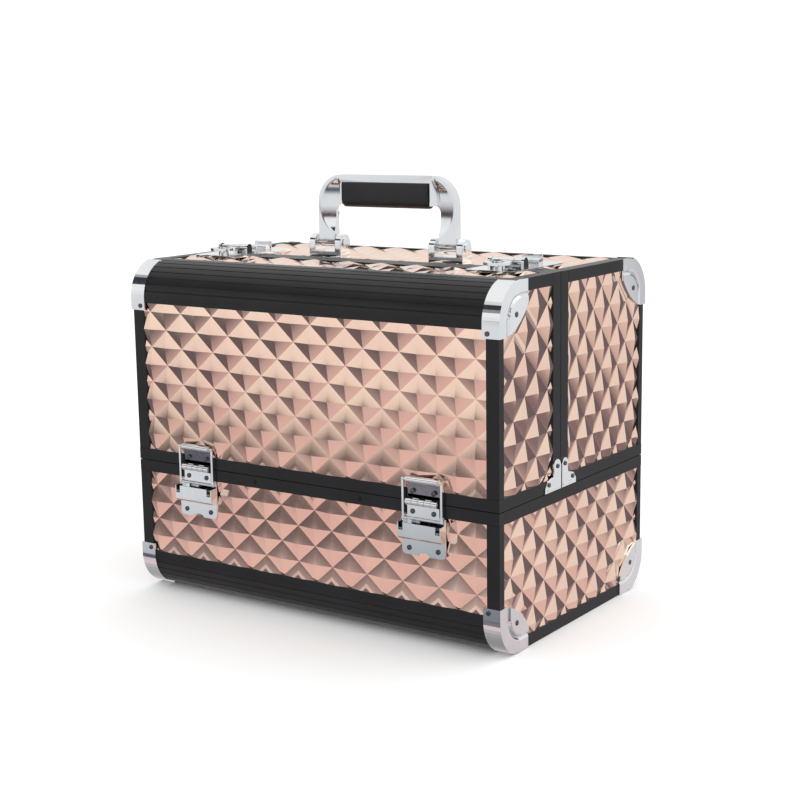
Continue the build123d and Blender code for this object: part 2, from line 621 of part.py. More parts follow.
def latch_base():
    """Latch base at x = 0 on the front lid: plate, pin ears and lock cylinder."""
    top = HEIGHT + LATCH_PLATE
    y_end = SEAM_Y - SEAM_GAP / 2
    plate = block((-LATCH_HALF, LATCH_HALF), (LATCH_FRONT, y_end), (HEIGHT, top))
    plate = chamfer(plate.edges().filter_by(Axis.Z).group_by(Axis.Y)[0], 4.0)
    plate -= block((-LOCK_R * 2, LOCK_R * 2), (LATCH_FRONT - 1.0, LATCH_FRONT + 2.5), (HEIGHT, top))
    pivot_z = HEIGHT + LATCH_PIVOT_H
    for side in (-1, 1):
        x = sorted((side * (HOOK_HALF + 0.3), side * (HOOK_HALF + 2.7)))
        plate += block(x, (LATCH_PIVOT_Y - 3.4, LATCH_PIVOT_Y + 3.4), (HEIGHT, pivot_z))
        plate += rod(3.4, x, LATCH_PIVOT_Y, pivot_z)
    plate += rod(LATCH_PIN_R, (-HOOK_HALF - 2.0, HOOK_HALF + 2.0), LATCH_PIVOT_Y, pivot_z)
    return plate + Pos(0, DISC_Y, HEIGHT + 4.2) * Cylinder(LOCK_R, 8.4)


def latch_lever():
    """Latch lever at x = 0: ring with a neck and a barrel on the latch pin."""
    pivot_z = HEIGHT + LATCH_PIVOT_H
    ring = Pos(0, DISC_Y, pivot_z - 0.2) * Cylinder(DISC_R, 2.2)
    ring += block((-6.0, 6.0), (DISC_Y + 6.0, LATCH_PIVOT_Y), (pivot_z - 1.3, pivot_z + 0.9))
    ring -= Pos(0, DISC_Y, pivot_z) * Cylinder(DISC_HOLE_R, 8.0)
    ring += rod(LATCH_BARREL_R, (-6.5, 6.5), LATCH_PIVOT_Y, pivot_z)
    return ring - rod(LATCH_PIN_R + RUN, (-10.0, 10.0), LATCH_PIVOT_Y, pivot_z)


def latch_hook():
    """Draw hook at x = 0: two barrels beside the lever and a plate with a lip behind the keeper."""
    pivot_z = HEIGHT + LATCH_PIVOT_H
    hook = block((-HOOK_HALF, HOOK_HALF), (LATCH_PIVOT_Y + LATCH_BARREL_R + 0.4, HOOK_TIP_Y),
                 (pivot_z, pivot_z + 1.6))
    hook += block((-HOOK_HALF + 1.3, HOOK_HALF - 1.3), (HOOK_TIP_Y - HOOK_LIP, HOOK_TIP_Y), (HEIGHT + 3.7, pivot_z))
    for side in (-1, 1):
        x = sorted((side * 6.8, side * HOOK_HALF))
        hook += rod(LATCH_BARREL_R, x, LATCH_PIVOT_Y, pivot_z)
        hook += block(x, (LATCH_PIVOT_Y, LATCH_PIVOT_Y + 4.0), (pivot_z, pivot_z + 1.6))
    return hook - rod(LATCH_PIN_R + RUN, (-HW, HW), LATCH_PIVOT_Y, pivot_z)


def latch_keeper():
    """Keeper at x = 0 on the rear lid: plate, lip for the hook and a rolled stop behind it."""
    top = HEIGHT + LATCH_PLATE
    y_start = SEAM_Y + SEAM_GAP / 2
    plate = block((-LATCH_HALF, LATCH_HALF), (y_start, LATCH_REAR), (HEIGHT, top))
    plate = chamfer(plate.edges().filter_by(Axis.Z).group_by(Axis.Y)[-1], 4.0)
    x = (-KEEPER_HALF, KEEPER_HALF)
    lip_y, roll_y, flap_y = SEAM_Y + KEEPER_LIP_BACK, SEAM_Y + KEEPER_ROLL_BACK, SEAM_Y + KEEPER_FLAP_BACK
    plate += block(x, (lip_y, lip_y + KEEPER_LIP), (HEIGHT, HEIGHT + 4.5))
    plate += rod(KEEPER_ROLL_R, x, roll_y, top + 1.6)
    plate += block(x, (roll_y - KEEPER_ROLL_R, roll_y + KEEPER_ROLL_R), (HEIGHT, top + 1.6))
    return plate + block((-9.0, 9.0), (flap_y, flap_y + 1.4), (HEIGHT, top + 7.0))


def at_latches(shape):
    """The shape at the left and at the right latch."""
    return [Pos(side * LATCH_X, 0, 0) * shape for side in (-1, 1)]


# ---- box ---------------------------------------------------------------------------------------

def box_side_board():
    """Right side board of the box, rounded at both lower corners."""
    x = (HW - BOARD_IN, HW - RAIL)
    radius = EDGE_R - BOARD_IN
    board = block(x, (-HD + BOARD_IN, HD - BOARD_IN), (BOARD_IN, BOX_TOP - RAIL))
    return fillet(board.edges().filter_by(Axis.X).group_by(Axis.Z)[0], radius)


def box_lining():
    """Lining of the box, one shell open at the top."""
    top = BOX_TOP - RIM_RAIL_H
    def tub(inset):
        body = block((-HW + inset, HW - inset), (-HD + inset, HD - inset), (inset, top))
        return fillet(body.edges().filter_by(Axis.X).group_by(Axis.Z)[0], EDGE_R - inset)
    return tub(BOARD_IN) - tub(WALL)


def box_corner_rail():
    """Right corner posts and bottom rail of the box in one angle section."""
    upper = corner_rail(0.0, HEIGHT - BOX_TOP + RIM_RAIL_H)
    front = flip([upper])[0]
    return front + to_rear([front])[0]


def main():
    os.makedirs("parts", exist_ok=True)
    across = (-HW + RAIL, HW - RAIL)
    board_top = BOX_TOP - RAIL

    front_board = block(across, (-HD + RAIL, -HD + BOARD_IN), (EDGE_R, board_top))
    save("box_bottom_panel", [block(across, (-HD + EDGE_R, HD - EDGE_R), (RAIL, BOARD_IN))])
    save("box_front_panel", [front_board])
    save("box_rear_panel", to_rear([front_board]))
    save("box_side_panels", both_sides([box_side_board()]))
    bottom_rails = flip([edge_rail()])
    save("box_edge_rails", bottom_rails + to_rear(bottom_rails))
    save("box_corner_rails", both_sides([box_corner_rail()]))
    front_rim = front_rim_rail(BOX_TOP, -1)
    side_rim = side_rim_rail(BOX_TOP, -1, HD, mitred_end=True)
    save("box_rim_rails", [front_rim] + to_rear([front_rim]) + both_sides([side_rim]))
    caps = flip(both_sides([corner_cap()]))
    save("box_corner_caps", caps + to_rear(caps))
    save("box_lining", [box_lining()])

    leaves = at_hinges([lower_leaf()])
    pockets = at_hinges([slide_pocket()])
    save("hinge_lower_leaves", leaves + to_rear(leaves))
    save("hinge_slide_pockets", pockets + to_rear(pockets))
    lower_rows = [(SEAM_Z - 7.6, 9.5), (BASE_BOTTOM + 5.3, 13.0)]
    front_rivets = at_hinges(hinge_rivets(lower_rows)) + flip(both_sides(cap_rivets()))
    band = [rivet(1.5, 0.8, (x, -HD, BOX_TOP - 4.8), "-Y") for x in (-52.0, 52.0)]
    save("box_rivets", front_rivets + to_rear(front_rivets) + band)

    upper_leaves = at_hinges([upper_leaf()])
    links = at_hinges([link_frame()])
    upper_rivets = at_hinges(hinge_rivets([(SEAM_Z + 8.0, 9.5)]))
    brackets = []
    for name, depth, tray_depth, turn in (("front", FRONT_LID_D, FRONT_TRAY_D, list),
                                          ("rear", REAR_LID_D, REAR_TRAY_D, to_rear)):
        y_end = -HD + depth
        for part, shapes in lid_parts(depth).items():
            label = part.replace("front_panel", "outer_panel")
            save(f"{name}_lid_{label}", turn(shapes))
        wing, lobe = (24.5, 11.0) if name == "front" else (22.0, 9.0)
        save(f"{name}_side_brackets", turn(both_sides([side_bracket(y_end, wing, lobe)])))
        save(f"{name}_hinge_upper_leaves", turn(upper_leaves))
        save(f"{name}_hinge_links", turn(links))
        moving = linkage(tray_depth)
        brackets += turn(moving["brackets"])
        side_rivets = both_sides(cap_rivets() + side_bracket_rivets(y_end, wing, lobe))
        save(f"{name}_lid_rivets", turn(side_rivets + upper_rivets))
        save(f"{name}_tray_studs", turn(moving["lid_studs"]))
        for part in ("long_arms", "short_arms", "lower_tray", "upper_tray"):
            save(f"{name}_{part}", turn(moving[part]))
    save("arm_brackets", brackets)

    save("handle_frame", [handle_frame()])
    save("handle_grip", [handle_grip()])
    save("handle_brackets", both_sides([handle_bracket()]))
    save("handle_pins", both_sides([handle_pin()]))
    save("latch_bases", at_latches(latch_base()))
    save("latch_keepers", at_latches(latch_keeper()))
    for side, lever, hook in zip(("left", "right"), at_latches(latch_lever()), at_latches(latch_hook())):
        save(f"{side}_latch_lever", [lever])
        save(f"{side}_latch_hook", [hook])


main()
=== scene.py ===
"""Looks of a rose-gold makeup train case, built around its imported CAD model."""

import json
import logging
from dataclasses import dataclass, field
from enum import Enum
from math import cos, radians, sin
from typing import Callable

import bmesh
import bpy
import numpy as np
from mathutils import Matrix, Vector

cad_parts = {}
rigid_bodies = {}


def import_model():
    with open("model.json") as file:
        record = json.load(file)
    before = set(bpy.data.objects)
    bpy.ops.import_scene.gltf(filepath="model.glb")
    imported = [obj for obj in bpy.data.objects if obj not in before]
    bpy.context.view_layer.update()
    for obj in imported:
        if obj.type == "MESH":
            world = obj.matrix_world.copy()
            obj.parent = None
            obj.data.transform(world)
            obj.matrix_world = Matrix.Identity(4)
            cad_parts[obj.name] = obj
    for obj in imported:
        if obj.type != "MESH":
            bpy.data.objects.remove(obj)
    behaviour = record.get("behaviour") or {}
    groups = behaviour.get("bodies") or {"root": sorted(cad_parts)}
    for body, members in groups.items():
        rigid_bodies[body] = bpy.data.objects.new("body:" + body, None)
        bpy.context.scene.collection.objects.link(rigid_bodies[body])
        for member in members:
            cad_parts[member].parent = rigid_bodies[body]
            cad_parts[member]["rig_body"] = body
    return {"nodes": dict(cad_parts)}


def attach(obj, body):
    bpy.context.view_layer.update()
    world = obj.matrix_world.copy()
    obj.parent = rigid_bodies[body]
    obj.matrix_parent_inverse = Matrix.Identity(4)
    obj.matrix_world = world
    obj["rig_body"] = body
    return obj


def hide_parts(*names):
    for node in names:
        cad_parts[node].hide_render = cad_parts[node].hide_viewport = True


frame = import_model()

LOG = logging.getLogger("train_case")
HAND = {-1: "left", 1: "right"}
MM = 0.001
EASE_ANGLE = 32.0  # edges that turn by more degrees than this are eased
FLAT_ANGLE = 1.0  # faces that turn by fewer degrees than this are joined
WELD = 1e-6  # vertices closer than this are made one, in metres
TOUCH = 0.05  # a vertex this near to a face lies on it, in millimetres
PATCH_RANGE = (0.35, 0.65)  # the noise between these goes from colour to tint
GRAIN_RANGE = (0.3, 0.7)  # the noise between these goes from smooth to rough


class Side(Enum):
    """Which lid a piece belongs to; the value turns front coordinates into its own."""

    FRONT = 1
    REAR = -1

    @property
    def body(self) -> str:
        """Name of the lid's CAD body."""
        return f"{self.name.lower()}_lid"

    @property
    def tag(self) -> str:
        """Start of the names of the lid's pieces."""
        return self.name.lower()


# ------------------------------------------------------------------ colours and shader nodes


def linear(colour: str) -> tuple[float, float, float, float]:
    """Turns an sRGB hex colour into linear RGBA.

    Each channel c is c / 12.92 up to 0.04045, and ((c + 0.055) / 1.055) to the power 2.4 above it.

    Args:
        colour: six hex digits after a hash sign.

    Returns:
        Linear red, green, blue and an alpha of 1.
    """
    channels = [int(colour[i:i + 2], 16) / 255 for i in (1, 3, 5)]
    values = [c / 12.92 if c <= 0.04045 else ((c + 0.055) / 1.055) ** 2.4 for c in channels]
    return (values[0], values[1], values[2], 1.0)


def add_node(tree: bpy.types.NodeTree, kind: str, settings: dict | None = None,
             inputs: dict | None = None) -> bpy.types.Node:
    """Adds one shader node.

    Args:
        tree: the node tree it goes into.
        kind: the node's type name.
        settings: attributes of the node.
        inputs: socket name or number to a value, or to an output socket that feeds it.

    Returns:
        The new node.
    """
    node = tree.nodes.new(kind)
    for name, value in (settings or {}).items():
        setattr(node, name, value)
    for name, value in (inputs or {}).items():
        if isinstance(value, bpy.types.NodeSocket):
            tree.links.new(value, node.inputs[name])
        else:
            node.inputs[name].default_value = value
    return node


def set_ramp(node: bpy.types.Node, stops: list[tuple[float, str]]) -> None:
    """Gives a colour ramp its stops.

    Args:
        node: the ramp node.
        stops: places from 0 to 1, each with an sRGB hex colour.
    """
    elements = node.color_ramp.elements
    while len(elements) > 1:
        elements.remove(elements[-1])
    elements[0].position, elements[0].color = stops[0][0], linear(stops[0][1])
    for place, colour in stops[1:]:
        elements.new(place).color = linear(colour)


@dataclass(frozen=True)
class Finish:
    """A surface finish: what the stuff is, and what the eye sees of it.

    The grain is noise on Object coordinates, in metres, so its size is real.
    """

    name: str
    colour: str
    tint: str
    metallic: float
    roughness: float
    roughness_spread: float
    grain_mm: float
    bump_mm: float
    stretch: tuple[float, float, float] = (1.0, 1.0, 1.0)
    ior: float = 1.5
    sheen: float = 0.0
    patch_mm: float = 40.0

    def material(self) -> bpy.types.Material:
        """Builds the material once and returns it."""
        found = bpy.data.materials.get(self.name)
        if found:
            return found
        made = bpy.data.materials.new(self.name)
        made.use_nodes = True
        tree = made.node_tree
        tree.nodes.clear()
        place = add_node(tree, "ShaderNodeTexCoord").outputs["Object"]
        patch = add_node(tree, "ShaderNodeTexNoise", inputs={
            "Vector": place, "Scale": 1 / (self.patch_mm * MM), "Detail": 3.0})
        colour = add_node(tree, "ShaderNodeValToRGB", inputs={"Fac": patch.outputs["Fac"]})
        set_ramp(colour, list(zip(PATCH_RANGE, (self.colour, self.tint))))
        drawn = add_node(tree, "ShaderNodeMapping", inputs={"Vector": place, "Scale": self.stretch})
        grain = add_node(tree, "ShaderNodeTexNoise", inputs={
            "Vector": drawn.outputs[0], "Scale": 1 / (self.grain_mm * MM), "Detail": 4.0})
        rough = add_node(tree, "ShaderNodeMapRange", inputs={
            "Value": grain.outputs["Fac"], "From Min": GRAIN_RANGE[0], "From Max": GRAIN_RANGE[1],
            "To Min": self.roughness - self.roughness_spread,
            "To Max": self.roughness + self.roughness_spread})
        bump = add_node(tree, "ShaderNodeBump", inputs={
            "Height": grain.outputs["Fac"], "Strength": 0.6, "Distance": self.bump_mm * MM})
        shader = add_node(tree, "ShaderNodeBsdfPrincipled", inputs={
            "Base Color": colour.outputs["Color"], "Roughness": rough.outputs["Result"],
            "Normal": bump.outputs["Normal"], "Metallic": self.metallic, "IOR": self.ior,
            "Sheen Weight": self.sheen})
        add_node(tree, "ShaderNodeOutputMaterial", inputs={"Surface": shader.outputs["BSDF"]})
        return made


# Metallised laminate, embossed hot: a mirror-like rose film that is a little uneven.
ROSE = Finish("rose_gold_laminate", "#FBDCC6", "#F6D2C0", 1.0, 0.12, 0.03, 0.6, 0.003,
              patch_mm=55.0)
# Black anodised aluminium extrusion: satin, with faint lines along the draw.
ANODISED = Finish("black_anodised_aluminium", "#0E0E10", "#131316", 0.0, 0.38, 0.06, 0.5, 0.004,
                  stretch=(0.04, 1.0, 1.0), ior=1.42)
# Bright nickel-chrome plate on stamped steel: nearly a mirror, with faint wipe marks.
CHROME = Finish("bright_chrome_plate", "#EDEEEF", "#E4E6E8", 1.0, 0.085, 0.03, 3.0, 0.002)
# Solid steel rivet under thin nickel, duller than the plate it holds; its colour is painted darker
# than the plate's, a painted reflection of the dark surroundings that its steep sides mirror.
RIVET_PAINTED_DARK = Finish("nickelled_steel_rivet", "#66676A", "#5C5D60", 1.0, 0.20, 0.05, 1.0, 0.002)
# Blacked steel rivet: dark and satin, with a bright spot on its dome.
BLACKED = Finish("blacked_steel_rivet", "#17181A", "#1F2023", 0.6, 0.30, 0.05, 1.0, 0.002)
# Zinc-plated steel strip: greyer and duller than the chrome.
PLATED = Finish("zinc_plated_steel", "#B9BBBD", "#A9ABAE", 1.0, 0.30, 0.06, 0.8, 0.003,
                stretch=(1.0, 0.1, 0.1))
# Moulded soft-touch vinyl: near black, satin, with a fine spark texture.
GRIP = Finish("moulded_black_vinyl", "#101114", "#17181B", 0.0, 0.46, 0.05, 0.35, 0.02)
# Flocked lining: black nap that takes no highlight.
NAP = Finish("black_flocked_lining", "#141416", "#1D1D20", 0.0, 0.95, 0.03, 0.5, 0.05, sheen=0.5)
# Injection-moulded polypropylene trays: black with a spark-eroded texture.
TRAY = Finish("black_tray_plastic", "#1E1E21", "#26262A", 0.0, 0.55, 0.06, 0.45, 0.02)


# ------------------------------------------------------------------ meshes


def mesh_piece(name: str, vertices: np.ndarray, faces: list[list[int]],
               sharp_deg: float) -> bpy.types.Object:
    """Makes an object of a mesh, with its place in its vertices.

    Args:
        name: the object's name.
        vertices: N by 3 array, in millimetres.
        faces: rows of vertex numbers.
        sharp_deg: edges that turn by more than this stay sharp.

    Returns:
        The linked object, at the origin.
    """
    mesh = bpy.data.meshes.new(name)
    mesh.from_pydata((vertices * MM).tolist(), [], faces)
    mesh.validate()
    return finish_mesh(mesh, name, sharp_deg)


def finish_mesh(mesh: bpy.types.Mesh, name: str, sharp_deg: float) -> bpy.types.Object:
    """Links a mesh as an object with smooth faces and sharp edges above an angle."""
    mesh.polygons.foreach_set("use_smooth", np.ones(len(mesh.polygons), bool))
    mesh.set_sharp_from_angle(angle=radians(sharp_deg))
    piece = bpy.data.objects.new(name, mesh)
    bpy.context.scene.collection.objects.link(piece)
    return piece


def dress(piece: bpy.types.Object, finish: Finish, body: str) -> bpy.types.Object:
    """Gives a piece its finish and the body that it rides on."""
    piece.data.materials.clear()
    piece.data.materials.append(finish.material())
    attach(piece, body)
    return piece


def bevel(piece: bpy.types.Object, width_mm: float) -> None:
    """Rounds the sharp edges of a piece with a live bevel."""
    modifier = piece.modifiers.new("eased_edges", "BEVEL")
    modifier.width = width_mm * MM
    modifier.segments = 2
    modifier.limit_method = "ANGLE"
    modifier.angle_limit = radians(EASE_ANGLE)
    modifier.harden_normals = True
    modifier.use_clamp_overlap = True


def points_of(mesh: bpy.types.Mesh) -> np.ndarray:
    """Vertices of a mesh as N by 3, in millimetres."""
    flat = np.empty(len(mesh.vertices) * 3, np.float32)
    mesh.vertices.foreach_get("co", flat)
    return flat.reshape(-1, 3).astype(float) / MM


def set_points(mesh: bpy.types.Mesh, points: np.ndarray) -> None:
    """Writes vertices given in millimetres back to a mesh."""
    mesh.vertices.foreach_set("co", (points * MM).astype(np.float32).ravel())
    mesh.update()


def node_span(node: str) -> tuple[np.ndarray, np.ndarray]:
    """Lowest and highest corner of a CAD node, in millimetres, rounded to a tenth."""
    points = points_of(frame["nodes"][node].data)
    return points.min(axis=0).round(1), points.max(axis=0).round(1)


def cut_lines(mesh: bpy.types.Mesh, axis: int, places: np.ndarray) -> None:
    """Cuts a mesh along parallel planes, so that its flat faces can be shaped.

    Args:
        mesh: the mesh, in metres.
        axis: 0, 1 or 2 for planes across X, Y or Z.
        places: where the planes lie, in millimetres.
    """
    normal = Vector((0, 0, 0))
    normal[axis] = 1.0
    shape = bmesh.new()
    shape.from_mesh(mesh)
    for place in places:
        everything = shape.verts[:] + shape.edges[:] + shape.faces[:]
        bmesh.ops.bisect_plane(shape, geom=everything, dist=1e-7,
                               plane_co=normal * float(place) * MM, plane_no=normal)
    shape.to_mesh(mesh)
    shape.free()


def paint(piece: bpy.types.Object, finish: Finish, chosen: np.ndarray) -> None:
    """Gives some faces of a piece a second finish.

    Args:
        piece: the piece, already dressed.
        finish: the second finish.
        chosen: one truth value for each face.
    """
    piece.data.materials.append(finish.material())
    piece.data.polygons.foreach_set("material_index", chosen.astype(np.int32))


def face_centres(mesh: bpy.types.Mesh) -> np.ndarray:
    """Centres of the faces of a mesh as N by 3, in millimetres."""
    flat = np.empty(len(mesh.polygons) * 3, np.float32)
    mesh.polygons.foreach_get("center", flat)
    return flat.reshape(-1, 3) / MM


def eased_copy(node: str, width_mm: float, finish: Finish,
               reshape: Callable[[bpy.types.Mesh], None] | None = None) -> bpy.types.Object:
    """Stands in for a CAD node with the same shape and eased edges.

    The copy's loose triangles are merged and its flat faces joined before the bevel.

    Args:
        node: the CAD node.
        width_mm: width of the eased edges.
        finish: the surface finish.
        reshape: adds stamped detail to the merged copy.

    Returns:
        The new piece.
    """
    source = frame["nodes"][node]
    mesh = source.data.copy()
    mesh.name = f"{node}_eased"
    shape = bmesh.new()
    shape.from_mesh(mesh)
    bmesh.ops.remove_doubles(shape, verts=shape.verts, dist=WELD)
    bmesh.ops.dissolve_limit(shape, angle_limit=radians(FLAT_ANGLE), verts=shape.verts,
                             edges=shape.edges)
    shape.to_mesh(mesh)
    shape.free()
    for layer in list(mesh.attributes):
        if layer.name == "custom_normal":
            mesh.attributes.remove(layer)
    if reshape:
        reshape(mesh)
    piece = finish_mesh(mesh, f"{node}_eased", EASE_ANGLE)
    dress(piece, finish, source["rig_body"])
    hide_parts(node)
    bevel(piece, width_mm)
    return piece


# ------------------------------------------------------------------ embossed sheets


@dataclass(frozen=True)
class Lattice:
    """Rhombus lattice of the embossing: its diagonals and one groove crossing, in millimetres."""

    across: float
    up: float
    cross_u: float
    cross_v: float


@dataclass(frozen=True)
class Face:
    """A flat face of the case: a point on it, its two directions and its outward normal."""

    origin: tuple[float, float, float]
    u: tuple[float, float, float]
    v: tuple[float, float, float]

    @property
    def normal(self) -> np.ndarray:
        """Outward normal, u cross v."""
        return np.cross(self.u, self.v)

    def place(self, u: np.ndarray, v: np.ndarray, height: np.ndarray) -> np.ndarray:
        """Points at u and v on the face, raised along its normal."""
        columns = [np.asarray(part)[..., None] for part in (u, v, height)]
        axes = [np.asarray(self.u, float), np.asarray(self.v, float), self.normal]
        return np.asarray(self.origin, float) + sum(c * a for c, a in zip(columns, axes))


@dataclass
class EmbossedSheet:
    """One sheet of laminate with a raised diamond pattern, in millimetres.

    Low corners are (u, v, radius) of the corner caps that press on the sheet.
    """

    name: str
    face: Face
    lattice: Lattice
    u: tuple[float, float]
    v: tuple[float, float]
    body: str
    low_corners: list[tuple[float, float, float]] = field(default_factory=list)
    rings: tuple[float, ...] = (0.02, 0.27, 0.5, 0.73)
    relief: float = 2.5
    seat: float = 0.15
    back: float = 0.02
    groove: float = 0.955
    lip: float = 0.05
    swell: float = 1.08
    rail_height: float = 1.75
    rail_ease: float = 0.2
    flat: float = 1.5
    ease: float = 0.13
    fall: float = 0.30
    sharp_deg: float = 1.5
    weld: float = 1e-3

    def cell(self) -> tuple[np.ndarray, np.ndarray]:
        """One diamond: rings from the peak to the groove.

        Ring s of the rhombus |u| / a + |v| / b = s / 2 has the height
        relief * (1 - (1 - lip) * (s / groove) ** swell), so each of the four facets swells
        a little between peak and groove. The last ring dips into the groove itself.

        Returns:
            Vertices (u, v, height) and four-sided faces.
        """
        rings = np.array([*self.rings, self.groove, 1.0])
        heights = self.relief * (1 - (1 - self.lip) * (rings / self.groove) ** self.swell)
        heights[-1] = 0.0
        turn = np.array([[1, 0], [0, 1], [-1, 0], [0, -1]], float)
        half = np.array([self.lattice.across / 2, self.lattice.up / 2])
        flat = rings[:, None, None] * turn[None] * half
        count = len(rings)
        raised = np.broadcast_to(heights[:, None, None], (count, 4, 1))
        vertices = np.concatenate([flat, raised], axis=2).reshape(-1, 3)
        ring, side = np.meshgrid(np.arange(count - 1), np.arange(4), indexing="ij")
        after = (side + 1) % 4
        quads = np.stack([ring * 4 + side, (ring + 1) * 4 + side, (ring + 1) * 4 + after,
                          ring * 4 + after], axis=-1).reshape(-1, 4)
        return vertices, np.concatenate([quads, [[0, 1, 2, 3]]])

    def centres(self) -> np.ndarray:
        """Peaks of every diamond that reaches the sheet: two interleaved grids.

        Returns:
            N by 2 array of (u, v).
        """
        a, b = self.lattice.across, self.lattice.up
        first_u = self.lattice.cross_u + a / 2
        grids = []
        for shift_u, shift_v in ((0.0, 0.0), (a / 2, b / 2)):
            u0, v0 = first_u + shift_u, self.lattice.cross_v + shift_v
            i = np.arange(np.floor((self.u[0] - u0) / a) - 1, np.ceil((self.u[1] - u0) / a) + 2)
            j = np.arange(np.floor((self.v[0] - v0) / b) - 1, np.ceil((self.v[1] - v0) / b) + 2)
            grids.append(np.stack(np.meshgrid(u0 + a * i, v0 + b * j), axis=-1).reshape(-1, 2))
        return np.concatenate(grids)

    def build(self) -> bpy.types.Object:
        """Lays the diamonds out, trims them to the sheet and closes its back.

        The sheet is built flat as (u, v, height) and then placed on its face.

        Returns:
            The dressed sheet.
        """
        vertices, faces = self.cell()
        centres = self.centres()
        placed = np.repeat(vertices[None], len(centres), axis=0)
        placed[:, :, :2] += centres[:, None, :]
        numbers = faces[None] + (np.arange(len(centres)) * len(vertices))[:, None, None]
        flat = placed.reshape(-1, 3)
        height = self.seat + self.pressed(*flat.T)
        mesh = bpy.data.meshes.new(self.name)
        rows = np.column_stack([flat[:, :2], height])
        mesh.from_pydata(rows.tolist(), [], numbers.reshape(-1, 4).tolist())
        shape = bmesh.new()
        shape.from_mesh(mesh)
        bmesh.ops.remove_doubles(shape, verts=shape.verts, dist=self.weld)
        self.trim(shape)
        self.close_back(shape)
        bmesh.ops.recalc_face_normals(shape, faces=shape.faces)
        shape.to_mesh(mesh)
        shape.free()
        laid = points_of(mesh) * MM
        set_points(mesh, self.face.place(*laid.T))
        piece = finish_mesh(mesh, self.name, self.sharp_deg)
        return dress(piece, ROSE, self.body)

    def pressed(self, u: np.ndarray, v: np.ndarray, height: np.ndarray) -> np.ndarray:
        """Relief after pressing: lower along the rails, flat and packed under the corner caps.

        At a distance d inside the sheet's edge the height is at most rail_height +
        rail_ease * d. At a distance d beyond a cap it stays between flat - fall * d and
        flat + ease * d, so it is flat under the cap and free a little way from it.

        Args:
            u: place across the sheet.
            v: place up the sheet.
            height: relief before pressing.

        Returns:
            Relief after pressing.
        """
        inside = np.minimum.reduce([u - self.u[0], self.u[1] - u, v - self.v[0], self.v[1] - v])
        by_rail = self.rail_height + self.rail_ease * inside
        height = np.minimum(height, np.clip(by_rail, self.rail_height, self.relief))
        for corner_u, corner_v, radius in self.low_corners:
            beyond = np.hypot(u - corner_u, v - corner_v) - radius
            most = np.clip(self.flat + self.ease * beyond, self.flat, self.relief)
            least = np.clip(self.flat - self.fall * beyond, 0.0, self.flat)
            height = np.maximum(np.minimum(height, most), least)
        return height

    def trim(self, shape: bmesh.types.BMesh) -> None:
        """Cuts the sheet along its four straight edges.

        Args:
            shape: the flat sheet.
        """
        cuts = [((self.u[0], 0, 0), (-1, 0, 0)), ((self.u[1], 0, 0), (1, 0, 0)),
                ((0, self.v[0], 0), (0, -1, 0)), ((0, self.v[1], 0), (0, 1, 0))]
        for point, normal in cuts:
            everything = shape.verts[:] + shape.edges[:] + shape.faces[:]
            bmesh.ops.bisect_plane(shape, geom=everything, plane_co=point, plane_no=normal,
                                   clear_outer=True)

    def close_back(self, shape: bmesh.types.BMesh) -> None:
        """Turns the sheet's edge back to the board and closes it behind.

        Args:
            shape: the flat sheet, trimmed.
        """
        rim = [edge for edge in shape.edges if edge.is_boundary]
        wall = bmesh.ops.extrude_edge_only(shape, edges=rim)["geom"]
        behind = [item for item in wall if isinstance(item, bmesh.types.BMVert)]
        bmesh.ops.scale(shape, verts=behind, vec=(1.0, 1.0, 0.0))
        bmesh.ops.translate(shape, verts=behind, vec=(0.0, 0.0, self.back))
        back = [item for item in wall if isinstance(item, bmesh.types.BMEdge)]
        bmesh.ops.contextual_create(shape, geom=back)


@dataclass(frozen=True)
class Shell:
    """Where the rails of the case leave room for the sheets, read from the frame."""

    half_width: float
    half_depth: float
    height: float
    board_x: float
    board_y: float
    board_top: float
    lid_rim_top: float
    box_rim_low: float
    edge_reach: float
    front_seam_edge: float
    rear_seam_edge: float

    @classmethod
    def read(cls) -> "Shell":
        """Measures the CAD nodes.

        Returns:
            The places, in millimetres.
        """
        posts = node_span("box_corner_rails")[1]
        seams = {side: node_span(f"{side.tag}_lid_seam_rails") for side in Side}
        sizes = (posts[0], posts[1], node_span("front_lid_edge_rail")[1][2],
                 node_span("box_side_panels")[1][0], -node_span("box_front_panel")[0][1],
                 node_span("front_lid_top_panel")[1][2], node_span("front_lid_rim_rails")[1][2],
                 node_span("box_rim_rails")[0][2], node_span("box_edge_rails")[1][2],
                 seams[Side.FRONT][0][1], seams[Side.REAR][1][1])
        return cls(*(float(size) for size in sizes))

    def seam_edge(self, side: Side) -> float:
        """Y of the seam rail's edge on one lid."""
        return self.front_seam_edge if side is Side.FRONT else self.rear_seam_edge


